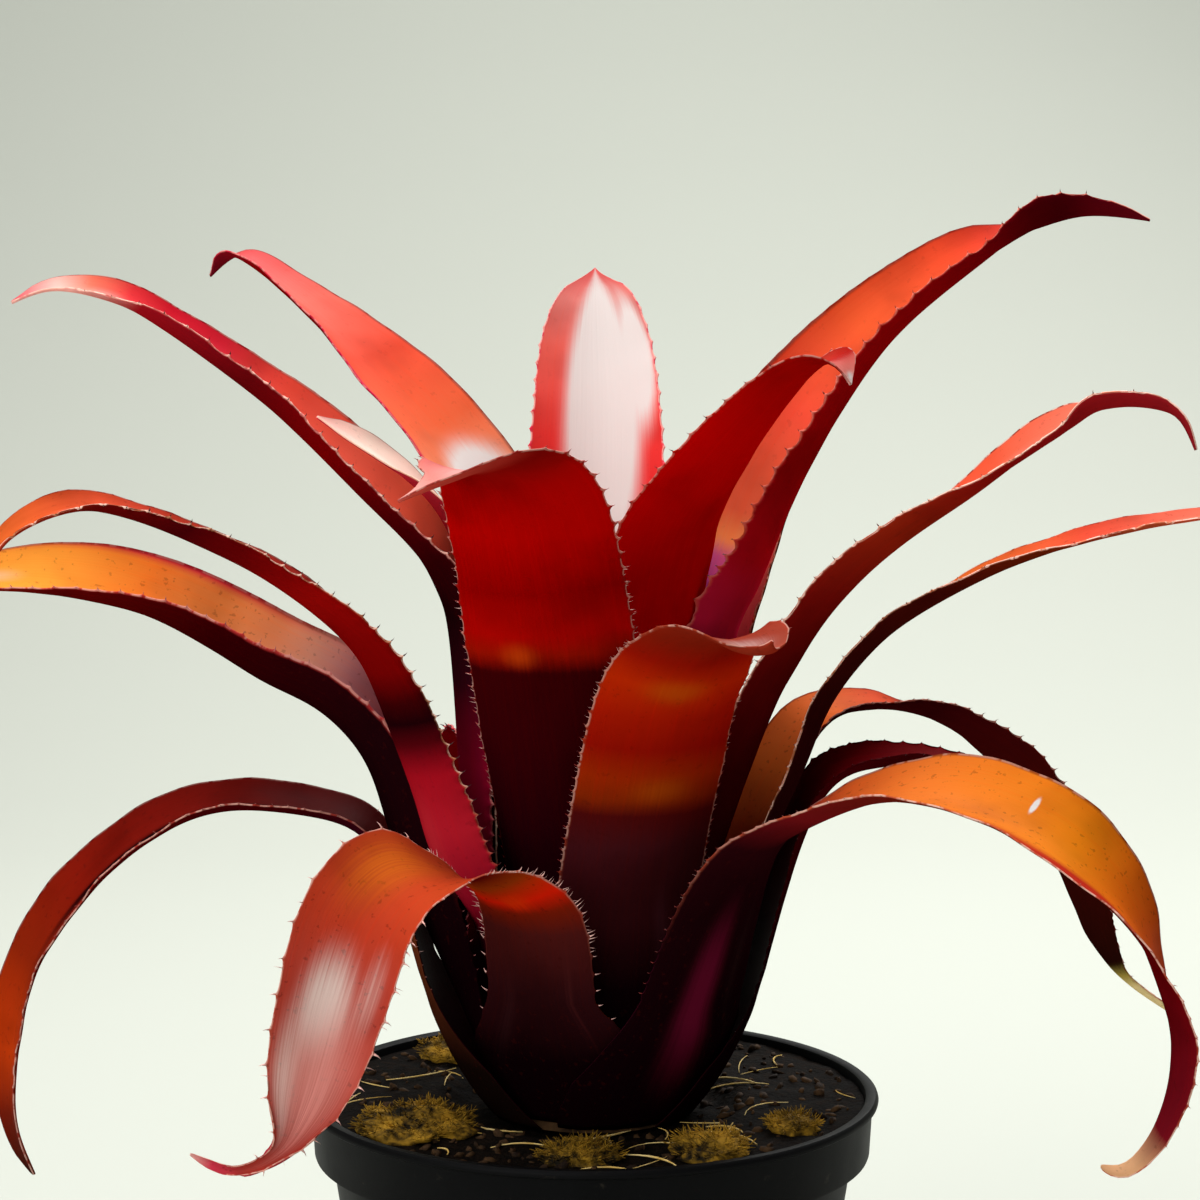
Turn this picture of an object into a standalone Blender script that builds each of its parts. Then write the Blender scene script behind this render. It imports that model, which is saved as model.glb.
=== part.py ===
"""Potted bromeliad: leaves nested round a short stem, soil, moss and a round nursery pot.

Blender 4.5, metres, +Z up. The pot stands on Z = 0 and its axis is the Z axis.
"""
from collections import namedtuple
from math import cos, pi, radians, sin

import bmesh
import bpy
from mathutils import Quaternion, Vector

MM = 0.001
GAP = 0.3 * MM                    # clearance between pieces that touch

# Pot: a thin-walled round nursery pot with a rim band
POT_HEIGHT = 148 * MM
POT_BASE_RADIUS = 70 * MM
POT_BODY_RADIUS = 89 * MM         # just under the rim band
RIM_RADIUS = 95 * MM
LIP_RADIUS = 98 * MM
RIM_BAND = 21 * MM
LIP_HEIGHT = 3 * MM
POT_WALL = 1.6 * MM
POT_FLOOR = 2.2 * MM
POT_EDGE = 1 * MM                 # the small roundings and steps of the pot's profile
POT_SEGMENTS = 64
DRAIN_COUNT = 8
DRAIN_RADIUS = 5 * MM
DRAIN_CIRCLE = 48 * MM
DRAIN_SEGMENTS = 16

# Soil and the rooted stem that it holds
SOIL_EDGE = 145 * MM              # height of the soil at the pot wall
SOIL_TOP = 140 * MM               # height of the soil round the stem
SOIL_DIP_RADIUS = 44 * MM         # the dip round the stem, and where it ends
SOIL_DIP_EDGE = 53 * MM
MOSS_SKIRT = 1.2 * MM             # thickness of a moss clump's edge
MOSS_SKIRT_START = 0.25           # how far under its middle a clump's edge starts, as a share
MOSS_LUMPS = 0.12                 # how lumpy a clump is, as a share of its size
ROOT_RADIUS = 22 * MM
ROOT_FOOT_RADIUS = 15.4 * MM
ROOT_DEPTH = 40 * MM
STEM_FOOT = SOIL_TOP + 2 * MM
STEM_FOOT_RADIUS = 33 * MM
STEM_CROWN_RADIUS = 10 * MM
STEM_RISE = 26 * MM
STEM_SEGMENTS = 40

# Leaf sheaths: nested layers between an outer and an inner funnel
LAYERS = 12
FUNNEL_LEVELS = (0, 9, 20, 34, 50, 68, 88, 108)       # millimetres above the stem's foot
OUTER_FUNNEL = (34, 41, 47.5, 54, 59, 62.5, 65.5, 68)
INNER_FUNNEL = (9, 10, 11.5, 14, 18, 23, 30, 37)
SHEATH_WRAP = radians(64)         # the most that a sheath reaches round on each side
SHEATH_HALF_WIDTH = 40 * MM
SEAT_SPACING = 3                  # least height from a leaf's seat to its next level, millimetres
SEAT_ROUNDS = 30                  # rounds in which a seat settles on the stem's cone
NARROWING_LEVEL = 20              # above this level a sheath narrows to its blade, millimetres
TIP_CUP = 20                      # half the angle of the channel at a leaf's tip, degrees
LEAF_THICKNESS = 1.0 * MM
TIP_HALF_WIDTH = 1.2 * MM
ACROSS = 6                        # strips across a leaf
BLADE_STATIONS = 11               # stations along the free blade
CURVE_STEPS = 12                  # samples between two points of a leaf's route
FREEING_KNOTS = 1.5               # route points over which the sections turn from level to square
SHARP_ANGLE = 35                  # degrees, on the turned pieces
LEAF_SHARP_ANGLE = 60             # degrees, on leaves and moss

# azimuth: degrees, 0 is right, 90 is back. layer: 0 is outermost. free: the level where the
# blade leaves the funnel. width: half of the blade, millimetres. cup: half the angle of the
# channel where the blade starts, degrees. route: reach from the axis, drift to the leaf's left,
# height above the pot's foot (millimetres) and roll (degrees).
Leaf = namedtuple("Leaf", "name azimuth layer free width cup route")

LEAVES = (
    Leaf("leaf_left_drooping", 178, 0, 4, 20, 30, (
        (74, 0, 235, 0), (103, 0, 245, 0), (131, 0, 245, 5), (157, 0, 232, 14), (179, 0, 211, 22),
        (194, 0, 187, 28), (200, 0, 158, 32), (200, 0, 134, 30), (193, 0, 116, 28))),
    Leaf("leaf_right_low", 10, 0, 4, 19, 40, (
        (78, 0, 248, 0), (101, 0, 258, 0), (126, 0, 257, 0), (147, 0, 249, 0), (159, 0, 235, 0))),
    Leaf("leaf_right_drooping", 312, 1, 4, 25, 30, (
        (77, 0, 237, -10), (100, 4, 255, -14), (130, 12, 268, -17), (156, 22, 268, -22), (180, 34, 257, -26),
        (195, 48, 237, -18), (199, 60, 212, 0), (201, 67, 188, 8), (195, 67, 164, 0), (186, 62, 149, 0),
        (179, 57, 149, 0))),
    Leaf("leaf_back_low_left", 108, 1, 4, 21, 40, (
        (78, 0, 232, 0), (108, 0, 248, 0), (142, 0, 246, 0), (166, 0, 225, 0), (176, 0, 195, 0))),
    Leaf("leaf_front_drooping", 250, 2, 4, 20, 30, (
        (70, 3, 223, 2), (85, -5, 236, 12), (99, -15, 242, 32), (112, -24, 243, 58), (121, -33, 232, 80),
        (126, -39, 212, 90), (129, -44, 191, 92), (130, -49, 173, 88), (132, -56, 157, 80),
        (134, -72, 149, 65), (136, -86, 154, 50))),
    Leaf("leaf_back_low_right", 74, 2, 5, 21, 40, (
        (82, 0, 262, 0), (110, 0, 284, 0), (146, 0, 286, 0), (172, 0, 268, 0), (186, 0, 236, 0))),
    Leaf("leaf_left_middle", 172, 3, 3, 29.5, 70, (
        (60, 0, 212, 0), (69, 0, 236, 0), (77, 0, 261, 0), (92, 0, 278, 2), (112, 0, 288, 4),
        (130, 0, 299, 5), (151, 0, 310, 8), (175, 0, 317, 19), (203, 0, 320, 25), (228, 0, 316, 28),
        (246, 0, 300, 28))),
    Leaf("leaf_right_dry_tip", 28, 3, 5, 17, 30, (
        (82, 0, 265, 0), (108, 0, 272, 0), (133, 0, 268, 6), (162, 0, 253, 12), (186, 0, 228, 15),
        (200, 0, 203, 15), (209, 0, 180, 10), (221, 0, 162, 0), (247, 0, 144, 0))),
    Leaf("leaf_right_thin", 352, 4, 5, 15, 35, (
        (70, 0, 258, 0), (80, 0, 284, 4), (95, 0, 304, 8), (110, 0, 316, 8), (131, 0, 328, 4),
        (147, 0, 335, -4), (171, 0, 343, -14), (205, 0, 350, -20), (228, 0, 350, -20))),
    Leaf("leaf_back_short_left", 130, 4, 6, 15, 45, ((66, 0, 290, 0), (72, 0, 314, 0), (78, 0, 333, 0))),
    Leaf("leaf_front_short", 287, 5, 6, 26.5, 30, (
        (73, 1, 278, 0), (87, 2, 299, 0), (99, 4, 311, -4), (109, 6, 318, -8), (118, 9, 321, -10),
        (125, 11, 320, -8), (130, 13, 318, -4), (134, 15, 321, 0), (137, 17, 327, 0))),
    Leaf("leaf_back_arched", 92, 5, 6, 22, 45, (
        (72, 0, 282, 0), (98, 0, 305, 0), (135, 0, 312, 0), (166, 0, 296, 0), (186, 0, 262, 0))),
    Leaf("leaf_left_upper", 205, 6, 5, 27, 60, (
        (56, 0, 232, 0), (63, 0, 254, 0), (72, 0, 278, 0), (82, 0, 301, 2), (95, 0, 316, 5),
        (116, 0, 332, 5), (136, 0, 343, 0), (158, 0, 353, 3), (177, 0, 358, 15), (192, 0, 356, 26),
        (205, 0, 348, 30), (213, 0, 332, 30))),
    Leaf("leaf_right_arched", 336, 7, 6, 20, 40, (
        (62, 0, 280, 0), (71, 0, 297, 0), (82, 0, 315, 2), (97, 0, 332, 5), (114, 0, 346, 5),
        (134, 0, 360, -8), (152, 0, 374, -22), (166, 0, 383, -20), (175, 0, 389, 15), (188, 0, 391, 25),
        (201, 0, 388, 30), (207, 0, 377, 35))),
    Leaf("leaf_left_long", 187, 7, 6, 25, 60, (
        (47, 0, 303, 0), (52, 0, 323, 4), (60, 0, 337, 12), (76, 0, 354, 18), (100, 0, 378, 11),
        (119, 0, 394, 5), (145, 0, 413, 5), (161, 0, 421, 14), (178, 0, 424, 18), (191, 0, 419, 10))),
    Leaf("leaf_right_behind", 38, 8, 6, 18, 45, (
        (57, 0, 282, 0), (65, 0, 304, 0), (74, 0, 325, 0), (85, 0, 345, 0), (95, 0, 362, 0))),
    Leaf("leaf_left_short", 197, 8, 6, 14, 28, (
        (41, 0, 318, 0), (46.5, 0, 337, 0), (54.5, 0, 352, 5), (66, 0, 363, 15), (81, 0, 374, 27),
        (94, 0, 382, 32))),
    Leaf("leaf_right_long", 18, 9, 6, 38, 84, (
        (48, 0, 300, 0), (57, 0, 320, -3), (67, 0, 346, -9), (76, 0, 365, -15), (88, 0, 383, -15),
        (108, 0, 406, -9), (141, 0, 430, -6), (164, 0, 442, 35), (182, 0, 446, 45), (204, 0, 442, 20))),
    Leaf("leaf_back_left", 146.5, 9, 6, 22.5, 36, (
        (39.5, 0, 332, 3), (59, 0, 364, 10), (86, 0, 388, 8), (112, 0, 407, -5), (136, 0, 422, -10),
        (152, 0, 429, 0), (163, 0, 421, 0))),
    Leaf("leaf_front_tall", 260.5, 10, 6, 29, 30, (
        (62, -2.5, 298, 0), (75, -5, 332, 3), (88, -7, 355, 6), (98, -9.5, 366, 9), (108, -13, 372, 10),
        (117, -17.5, 373, 10), (124, -23, 371, 8), (127, -30, 368, 4), (128, -37, 365, 0))),
    Leaf("leaf_back_upright", 88, 10, 6, 26.5, 33, (
        (30, 0, 318, 0), (40, 0, 350, 0), (53, 0, 377, 0), (65, 1, 397, 0), (74, 1.5, 411, 0),
        (80, 2, 419, 0), (84, 2, 424, 0))),
    Leaf("leaf_right_broad", 316, 11, 6, 31, 40, (
        (37, 0, 325, 0), (57, 0, 361, -5), (76, 0, 382, -8), (90, 0, 396, -8), (101, 0, 403, -4),
        (109, 0, 403, 0), (113, 0, 397, 0))),
    Leaf("leaf_heart", 148, 11, 5, 14, 45, ((25, 0, 270, 0), (28, 0, 300, 0), (32, 0, 326, 0))),
)
# How a blade narrows: the power of its taper, and the share of its route where its tail starts.
TAPER = 2.4
TAIL = 0.94
TAIL_HALF_WIDTH = 2.6 * MM
BROAD = {
    "leaf_back_upright": 3.0, "leaf_front_drooping": 8.0, "leaf_right_dry_tip": 4.5, "leaf_front_tall": 5.0,
    "leaf_front_short": 2.8, "leaf_right_broad": 1.8, "leaf_left_drooping": 3.5, "leaf_left_short": 4.0,
    "leaf_right_drooping": 3.2, "leaf_left_upper": 1.2, "leaf_left_long": 2.8, "leaf_right_long": 1.7,
    "leaf_back_left": 3.0, "leaf_left_middle": 4.0,
}
TAIL_STARTS = {"leaf_front_drooping": 0.82, "leaf_right_dry_tip": 0.86, "leaf_right_drooping": 0.88}
BLUNT = {"leaf_right_drooping": 4.0, "leaf_right_dry_tip": 3.0, "leaf_left_drooping": 5.0}   # millimetres
CUP_POWER = 3                     # how late a channel flattens towards the tip

# Moss: low clumps on the soil, as name: (x, y, radius, height) in millimetres
MOSS = {
    "moss_left": (-58, -38, 20, 8), "moss_front": (-4, -73, 13, 6), "moss_right": (39, -66, 13, 7),
    "moss_side": (67, -38, 9, 5), "moss_back": (-50, 56, 12, 6),
}


def clear_scene():
    for item in list(bpy.data.objects):
        bpy.data.objects.remove(item, do_unlink=True)


def material(name, colour, roughness, metallic=0.0):
    made = bpy.data.materials.new(name)
    made.use_nodes = True
    shader = made.node_tree.nodes["Principled BSDF"]
    shader.inputs["Base Color"].default_value = (*colour, 1.0)
    shader.inputs["Roughness"].default_value = roughness
    shader.inputs["Metallic"].default_value = metallic
    made.diffuse_color = (*colour, 1.0)
    return made


def add_object(name, bm, made):
    mesh = bpy.data.meshes.new(name)
    bm.to_mesh(mesh)
    bm.free()
    mesh.materials.append(made)
    item = bpy.data.objects.new(name, mesh)
    bpy.context.scene.collection.objects.link(item)
    return item


def shade_round(item, angle=SHARP_ANGLE):
    item.data.shade_smooth()
    item.data.set_sharp_from_angle(angle=radians(angle))


def turned(name, profile, made, segments):
    """A solid turned from a closed profile of (radius, height) points, on the Z axis."""
    bm = bmesh.new()
    verts = [bm.verts.new((radius, 0.0, height)) for radius, height in profile]
    edges = [bm.edges.new((a, b)) for a, b in zip(verts, verts[1:])]
    bmesh.ops.spin(bm, geom=verts + edges, cent=(0, 0, 0), axis=(0, 0, 1), angle=2 * pi,
                   steps=segments, use_merge=True)
    bmesh.ops.remove_doubles(bm, verts=bm.verts, dist=1e-6)
    bmesh.ops.recalc_face_normals(bm, faces=bm.faces)
    return add_object(name, bm, made)


def build_pot(made):
    """The pot: tapered wall, rim band with a lip, and a floor with drain holes."""
    band_foot = POT_HEIGHT - RIM_BAND
    lip_foot = POT_HEIGHT - LIP_HEIGHT
    profile = [
        (0, 0), (POT_BASE_RADIUS - 2 * POT_EDGE, 0), (POT_BASE_RADIUS, 2 * POT_EDGE),
        (POT_BODY_RADIUS, band_foot), (RIM_RADIUS - POT_EDGE, band_foot), (RIM_RADIUS, band_foot + POT_EDGE),
        (RIM_RADIUS + POT_EDGE, lip_foot), (LIP_RADIUS, lip_foot + POT_EDGE),
        (LIP_RADIUS, POT_HEIGHT - POT_EDGE), (LIP_RADIUS - POT_EDGE, POT_HEIGHT),
        (RIM_RADIUS - POT_WALL + POT_EDGE, POT_HEIGHT),
        (RIM_RADIUS - POT_WALL, band_foot + 2 * POT_WALL),
        (POT_BODY_RADIUS - POT_WALL, band_foot + POT_WALL),
        (POT_BASE_RADIUS - POT_WALL, POT_FLOOR), (0, POT_FLOOR),
    ]
    pot = turned("pot", profile, made, POT_SEGMENTS)
    shade_round(pot)
    for index in range(DRAIN_COUNT):
        angle = 2 * pi * (index + 0.5) / DRAIN_COUNT
        add_drain(pot, index, angle)
    return pot


def add_drain(pot, index, angle):
    bm = bmesh.new()
    bmesh.ops.create_cone(bm, cap_ends=True, segments=DRAIN_SEGMENTS, radius1=DRAIN_RADIUS,
                          radius2=DRAIN_RADIUS, depth=4 * POT_FLOOR)
    mesh = bpy.data.meshes.new(f"drain_{index}")
    bm.to_mesh(mesh)
    bm.free()
    cutter = bpy.data.objects.new(f"drain_{index}", mesh)
    cutter.location = (DRAIN_CIRCLE * cos(angle), DRAIN_CIRCLE * sin(angle), POT_FLOOR / 2)
    cutter.hide_render = True
    cutter.display_type = "WIRE"
    bpy.context.scene.collection.objects.link(cutter)
    cut = pot.modifiers.new(f"drain_{index}", "BOOLEAN")
    cut.operation = "DIFFERENCE"
    cut.solver = "EXACT"
    cut.object = cutter


def wall_radius(height):
    """The pot's inner radius at a height below the rim band."""
    band_foot = POT_HEIGHT - RIM_BAND
    share = (height - POT_FLOOR) / (band_foot + POT_WALL - POT_FLOOR)
    foot = POT_BASE_RADIUS - POT_WALL
    return foot + (POT_BODY_RADIUS - POT_WALL - foot) * share


def build_soil(made):
    """The soil that fills the pot, with a dip round the stem and the hollow that the root stands in."""
    band_foot = POT_HEIGHT - RIM_BAND
    floor = POT_FLOOR + GAP
    fill = band_foot + POT_WALL
    profile = [
        (0, floor), (wall_radius(floor) - GAP, floor), (wall_radius(fill) - GAP, fill),
        (RIM_RADIUS - POT_WALL - GAP, fill + POT_WALL), (RIM_RADIUS - POT_WALL - GAP, SOIL_EDGE),
        (SOIL_DIP_EDGE, SOIL_EDGE), (SOIL_DIP_RADIUS, SOIL_TOP), (ROOT_RADIUS + GAP, SOIL_TOP),
        (ROOT_FOOT_RADIUS + GAP, SOIL_TOP - ROOT_DEPTH - GAP), (0, SOIL_TOP - ROOT_DEPTH - GAP),
    ]
    soil = turned("soil", profile, made, POT_SEGMENTS)
    shade_round(soil)
    return soil


def build_stem(made):
    """The short stem: a tapered root in the soil and a blunt cone that carries the leaves."""
    profile = [
        (0, SOIL_TOP - ROOT_DEPTH), (ROOT_FOOT_RADIUS, SOIL_TOP - ROOT_DEPTH), (ROOT_RADIUS, SOIL_TOP + GAP),
        (STEM_FOOT_RADIUS, STEM_FOOT), (STEM_CROWN_RADIUS, STEM_FOOT + STEM_RISE),
        (0, STEM_FOOT + STEM_RISE),
    ]
    stem = turned("stem", profile, made, STEM_SEGMENTS)
    shade_round(stem)
    return stem


def funnel_radius(level, depth):
    """Radius of the nested sheaths at a level in millimetres; depth 0 is outermost, 1 innermost."""
    levels = FUNNEL_LEVELS
    span = max(i for i in range(len(levels) - 1) if levels[i] <= level or i == 0)
    share = (level - levels[span]) / (levels[span + 1] - levels[span])
    outer = OUTER_FUNNEL[span] + (OUTER_FUNNEL[span + 1] - OUTER_FUNNEL[span]) * share
    inner = INNER_FUNNEL[span] + (INNER_FUNNEL[span + 1] - INNER_FUNNEL[span]) * share
    return outer + (inner - outer) * depth


def seat_level(depth):
    """The level where a sheath of this depth (0 to 1) stands on the stem's cone, in millimetres."""
    slope = (STEM_FOOT_RADIUS - STEM_CROWN_RADIUS) / STEM_RISE
    level = 0.0
    for _ in range(SEAT_ROUNDS):
        inside = funnel_radius(level, depth) * MM - LEAF_THICKNESS / 2
        level = max(0.0, (STEM_FOOT_RADIUS - inside) / slope / MM)
    return level + 2 * GAP / MM


def leaf_knots(leaf):
    """The leaf's knots as (position, half width, cup angle, roll), from its seat to its tip."""
    outward = Vector((cos(radians(leaf.azimuth)), sin(radians(leaf.azimuth)), 0))
    aside = Vector((-outward.y, outward.x, 0))
    depth = leaf.layer / (LAYERS - 1)
    seat = seat_level(depth)
    knots = []
    top = FUNNEL_LEVELS[leaf.free]
    for level in (seat, *(low for low in FUNNEL_LEVELS[:leaf.free + 1] if low > seat + SEAT_SPACING)):
        reach = funnel_radius(level, depth) * MM
        narrowing = max(0.0, (level - NARROWING_LEVEL) / (top - NARROWING_LEVEL))
        widest = SHEATH_HALF_WIDTH + (leaf.width * MM - SHEATH_HALF_WIDTH) * narrowing
        half_width = min(widest, SHEATH_WRAP * reach)
        position = outward * reach + Vector((0, 0, STEM_FOOT + level * MM))
        knots.append((position, half_width, half_width / reach, 0.0))
    sheath = len(knots)
    taper = BROAD.get(leaf.name, TAPER)
    tail = TAIL_STARTS.get(leaf.name, TAIL)
    narrow = BLUNT.get(leaf.name, TAIL_HALF_WIDTH / MM) * MM
    tip = BLUNT.get(leaf.name, TIP_HALF_WIDTH / MM) * MM
    for index, (reach, drift, height, roll) in enumerate(leaf.route):
        position = (outward * reach + aside * drift + Vector((0, 0, height))) * MM
        share = (index + 1) / len(leaf.route)
        body = min(share / tail, 1.0)
        end = narrow + (tip - narrow) * max(share - tail, 0) / (1 - tail)
        half_width = end + (leaf.width * MM - end) * (1 - body ** taper)
        cup = leaf.cup + (TIP_CUP - leaf.cup) * share ** CUP_POWER
        knots.append((position, half_width, radians(cup), radians(roll)))
    return knots, sheath


def blend(a, b, c, d, share):
    """A Catmull-Rom step between b and c, for vectors and numbers."""
    return 0.5 * (2 * b + (c - a) * share + (2 * a - 5 * b + 4 * c - d) * share ** 2
                  + (3 * b - a - 3 * c + d) * share ** 3)


def leaf_samples(leaf):
    """Close samples along the leaf, each (position, half width, cup, side, normal).

    The sheath's sections are level, so that layers nest; the blade's turn square to its route.
    """
    knots, sheath = leaf_knots(leaf)
    samples = []
    for index in range(len(knots) - 1):
        four = [knots[min(max(index + shift, 0), len(knots) - 1)] for shift in (-1, 0, 1, 2)]
        for step in range(CURVE_STEPS):
            share = step / CURVE_STEPS
            samples.append([blend(four[0][0], four[1][0], four[2][0], four[3][0], share)]
                           + [four[1][k] + (four[2][k] - four[1][k]) * share for k in (1, 2, 3)])
    samples.append(list(knots[-1]))
    release = (sheath - 1) * CURVE_STEPS
    side = Vector((-sin(radians(leaf.azimuth)), cos(radians(leaf.azimuth)), 0))
    level_normal = Vector((0, 0, 1)).cross(side)
    heading = (samples[1][0] - samples[0][0]).normalized()
    frames = []
    for index, (position, half_width, cup, roll) in enumerate(samples):
        ahead = samples[min(index + 1, len(samples) - 1)][0] - samples[max(index - 1, 0)][0]
        side = heading.rotation_difference(ahead.normalized()) @ side
        heading = ahead.normalized()
        freed = min(max((index - release) / (FREEING_KNOTS * CURVE_STEPS), 0.0), 1.0)
        rolled = Quaternion(heading, -roll) @ side
        normal = level_normal.lerp(heading.cross(rolled), freed)
        normal = (normal - rolled * normal.dot(rolled)).normalized()
        frames.append((position, half_width, cup, rolled, normal))
    return frames, release


def leaf_stations(frames, release):
    """The samples kept for the mesh: each sheath level, then even steps along the blade."""
    picked = list(range(0, release + 1, CURVE_STEPS))
    lengths = [0.0]
    for here, after in zip(frames[release:], frames[release + 1:]):
        lengths.append(lengths[-1] + (after[0] - here[0]).length)
    for step in range(1, BLADE_STATIONS):
        wanted = lengths[-1] * step / BLADE_STATIONS
        picked.append(release + min(range(len(lengths)), key=lambda i: abs(lengths[i] - wanted)))
    picked.append(len(frames) - 1)
    return [frames[i] for i in picked]


def build_leaf(leaf, made):
    """One leaf as a closed shell: a cupped strip swept along its route, with a thickness."""
    frames, release = leaf_samples(leaf)
    bm = bmesh.new()
    rings = []
    for position, half_width, cup, side, normal in leaf_stations(frames, release):
        radius = half_width / cup
        ring = []
        for shift in (-LEAF_THICKNESS / 2, LEAF_THICKNESS / 2):
            row = []
            for step in range(ACROSS + 1):
                angle = cup * (2 * step / ACROSS - 1)
                outwards = side * sin(angle) - normal * cos(angle)
                row.append(bm.verts.new(position + normal * radius + outwards * (radius + shift)))
            ring.append(row)
        rings.append(ring)
    for here, after in zip(rings, rings[1:]):
        for a, b in zip(range(ACROSS), range(1, ACROSS + 1)):
            bm.faces.new((here[0][a], here[0][b], after[0][b], after[0][a]))
            bm.faces.new((here[1][a], after[1][a], after[1][b], here[1][b]))
        for edge in (0, ACROSS):
            bm.faces.new((here[0][edge], after[0][edge], after[1][edge], here[1][edge]))
    for end in (rings[0], rings[-1]):
        for a, b in zip(range(ACROSS), range(1, ACROSS + 1)):
            bm.faces.new((end[0][a], end[0][b], end[1][b], end[1][a]))
    bmesh.ops.recalc_face_normals(bm, faces=bm.faces)
    item = add_object(leaf.name, bm, made)
    shade_round(item, LEAF_SHARP_ANGLE)
    return item


def build_moss(name, centre_x, centre_y, radius, height, made):
    """A lumpy cushion of moss: a ball flattened on to the soil, with a bumpy crown."""
    bm = bmesh.new()
    bmesh.ops.create_icosphere(bm, subdivisions=3, radius=1.0)
    for vert in bm.verts:
        across, along, up = vert.co
        lump = 1 + MOSS_LUMPS * sin(5 * across + 2 * along) * cos(4 * along - 3 * across)
        crown = height * MM * max(up, 0.0) * lump
        vert.co = (centre_x * MM + across * radius * MM * lump, centre_y * MM + along * radius * MM * lump,
                   SOIL_EDGE + GAP + crown + MOSS_SKIRT * max(up + MOSS_SKIRT_START, 0.0))
    item = add_object(name, bm, made)
    shade_round(item, LEAF_SHARP_ANGLE)
    return item


def main():
    clear_scene()
    build_pot(material("pot_plastic", (0.02, 0.02, 0.022), 0.45))
    build_soil(material("soil", (0.03, 0.02, 0.012), 0.95))
    build_stem(material("stem", (0.10, 0.05, 0.03), 0.8))
    for leaf in LEAVES:
        build_leaf(leaf, material(leaf.name, (0.45, 0.03, 0.02), 0.4))
    for name, (centre_x, centre_y, radius, height) in MOSS.items():
        build_moss(name, centre_x, centre_y, radius, height, material(name, (0.12, 0.12, 0.02), 0.95))


main()
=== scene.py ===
"""Potted bromeliad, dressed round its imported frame.

Blender 4.5, metres, +Z up. Laid out as an add-on and run as a script: each operator makes one
group of pieces, and main calls them in order.
"""

from collections import namedtuple
from math import cos, e, pi, radians, sin, tau
from random import Random

import bmesh
import bpy
import numpy as np
from mathutils import Matrix, Quaternion, Vector, noise


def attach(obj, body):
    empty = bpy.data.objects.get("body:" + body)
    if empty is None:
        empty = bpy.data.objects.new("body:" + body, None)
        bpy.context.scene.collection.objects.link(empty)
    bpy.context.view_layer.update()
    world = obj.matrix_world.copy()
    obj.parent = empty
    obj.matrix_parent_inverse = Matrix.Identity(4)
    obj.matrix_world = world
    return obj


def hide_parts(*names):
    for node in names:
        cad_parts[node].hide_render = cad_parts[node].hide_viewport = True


bl_info = {
    "name": "Potted Bromeliad",
    "version": (1, 0, 0),
    "blender": (4, 5, 0),
    "location": "View3D > Sidebar > Bromeliad",
    "description": "Grows a red bromeliad with toothed leaves in a round nursery pot",
    "category": "Add Mesh",
}

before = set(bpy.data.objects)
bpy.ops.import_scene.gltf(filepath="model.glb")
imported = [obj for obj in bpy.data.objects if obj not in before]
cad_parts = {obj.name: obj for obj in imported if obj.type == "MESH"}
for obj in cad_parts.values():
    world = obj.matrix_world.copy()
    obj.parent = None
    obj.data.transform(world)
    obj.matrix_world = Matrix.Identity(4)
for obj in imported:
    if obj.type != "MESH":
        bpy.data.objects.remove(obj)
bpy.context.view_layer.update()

MM = 0.001
GAP = 0.3 * MM
UP = Vector((0, 0, 1))

# Pot and soil, as in the solids
POT_HEIGHT = 148 * MM
POT_BASE_RADIUS = 70 * MM
POT_BODY_RADIUS = 89 * MM
RIM_RADIUS = 95 * MM
LIP_RADIUS = 98 * MM
RIM_BAND = 21 * MM
LIP_HEIGHT = 3 * MM
POT_WALL = 1.6 * MM
POT_FLOOR = 2.2 * MM
DRAIN_COUNT = 8
DRAIN_RADIUS = 5 * MM
DRAIN_CIRCLE = 48 * MM
SOIL_EDGE = 145 * MM
SOIL_TOP = 140 * MM
SOIL_DIP_RADIUS = 44 * MM
SOIL_DIP_EDGE = 53 * MM
ROOT_RADIUS = 22 * MM
ROOT_FOOT_RADIUS = 15.4 * MM
ROOT_DEPTH = 40 * MM
STEM_FOOT = SOIL_TOP + 2 * MM
STEM_FOOT_RADIUS = 33 * MM
STEM_CROWN_RADIUS = 10 * MM
STEM_RISE = 26 * MM

# Leaf sheaths: nested layers between an outer and an inner funnel
LAYERS = 12
FUNNEL_LEVELS = (0, 9, 20, 34, 50, 68, 88, 108)       # millimetres above the stem's foot
OUTER_FUNNEL = (34, 41, 47.5, 54, 59, 62.5, 65.5, 68)
INNER_FUNNEL = (9, 10, 11.5, 14, 18, 23, 30, 37)
SHEATH_WRAP = radians(64)
SHEATH_HALF_WIDTH = 40 * MM
SEAT_SPACING = 3                  # least rise from a sheath's seat to its next level, millimetres
SEAT_ROUNDS = 30                  # rounds that find where a sheath meets the stem's cone
NARROWING_LEVEL = 20              # level where a sheath starts to narrow to its blade
TIP_CUP = 20                      # cup at the tip, degrees
TAIL_HALF_WIDTH = 2.6 * MM
TIP_HALF_WIDTH = 1.2 * MM
CURVE_STEPS = 12                  # samples from one knot to the next
FREEING_KNOTS = 1.5               # how soon a blade turns square to its route
CUP_POWER = 3                     # how late the cup changes to the tip's

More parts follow.
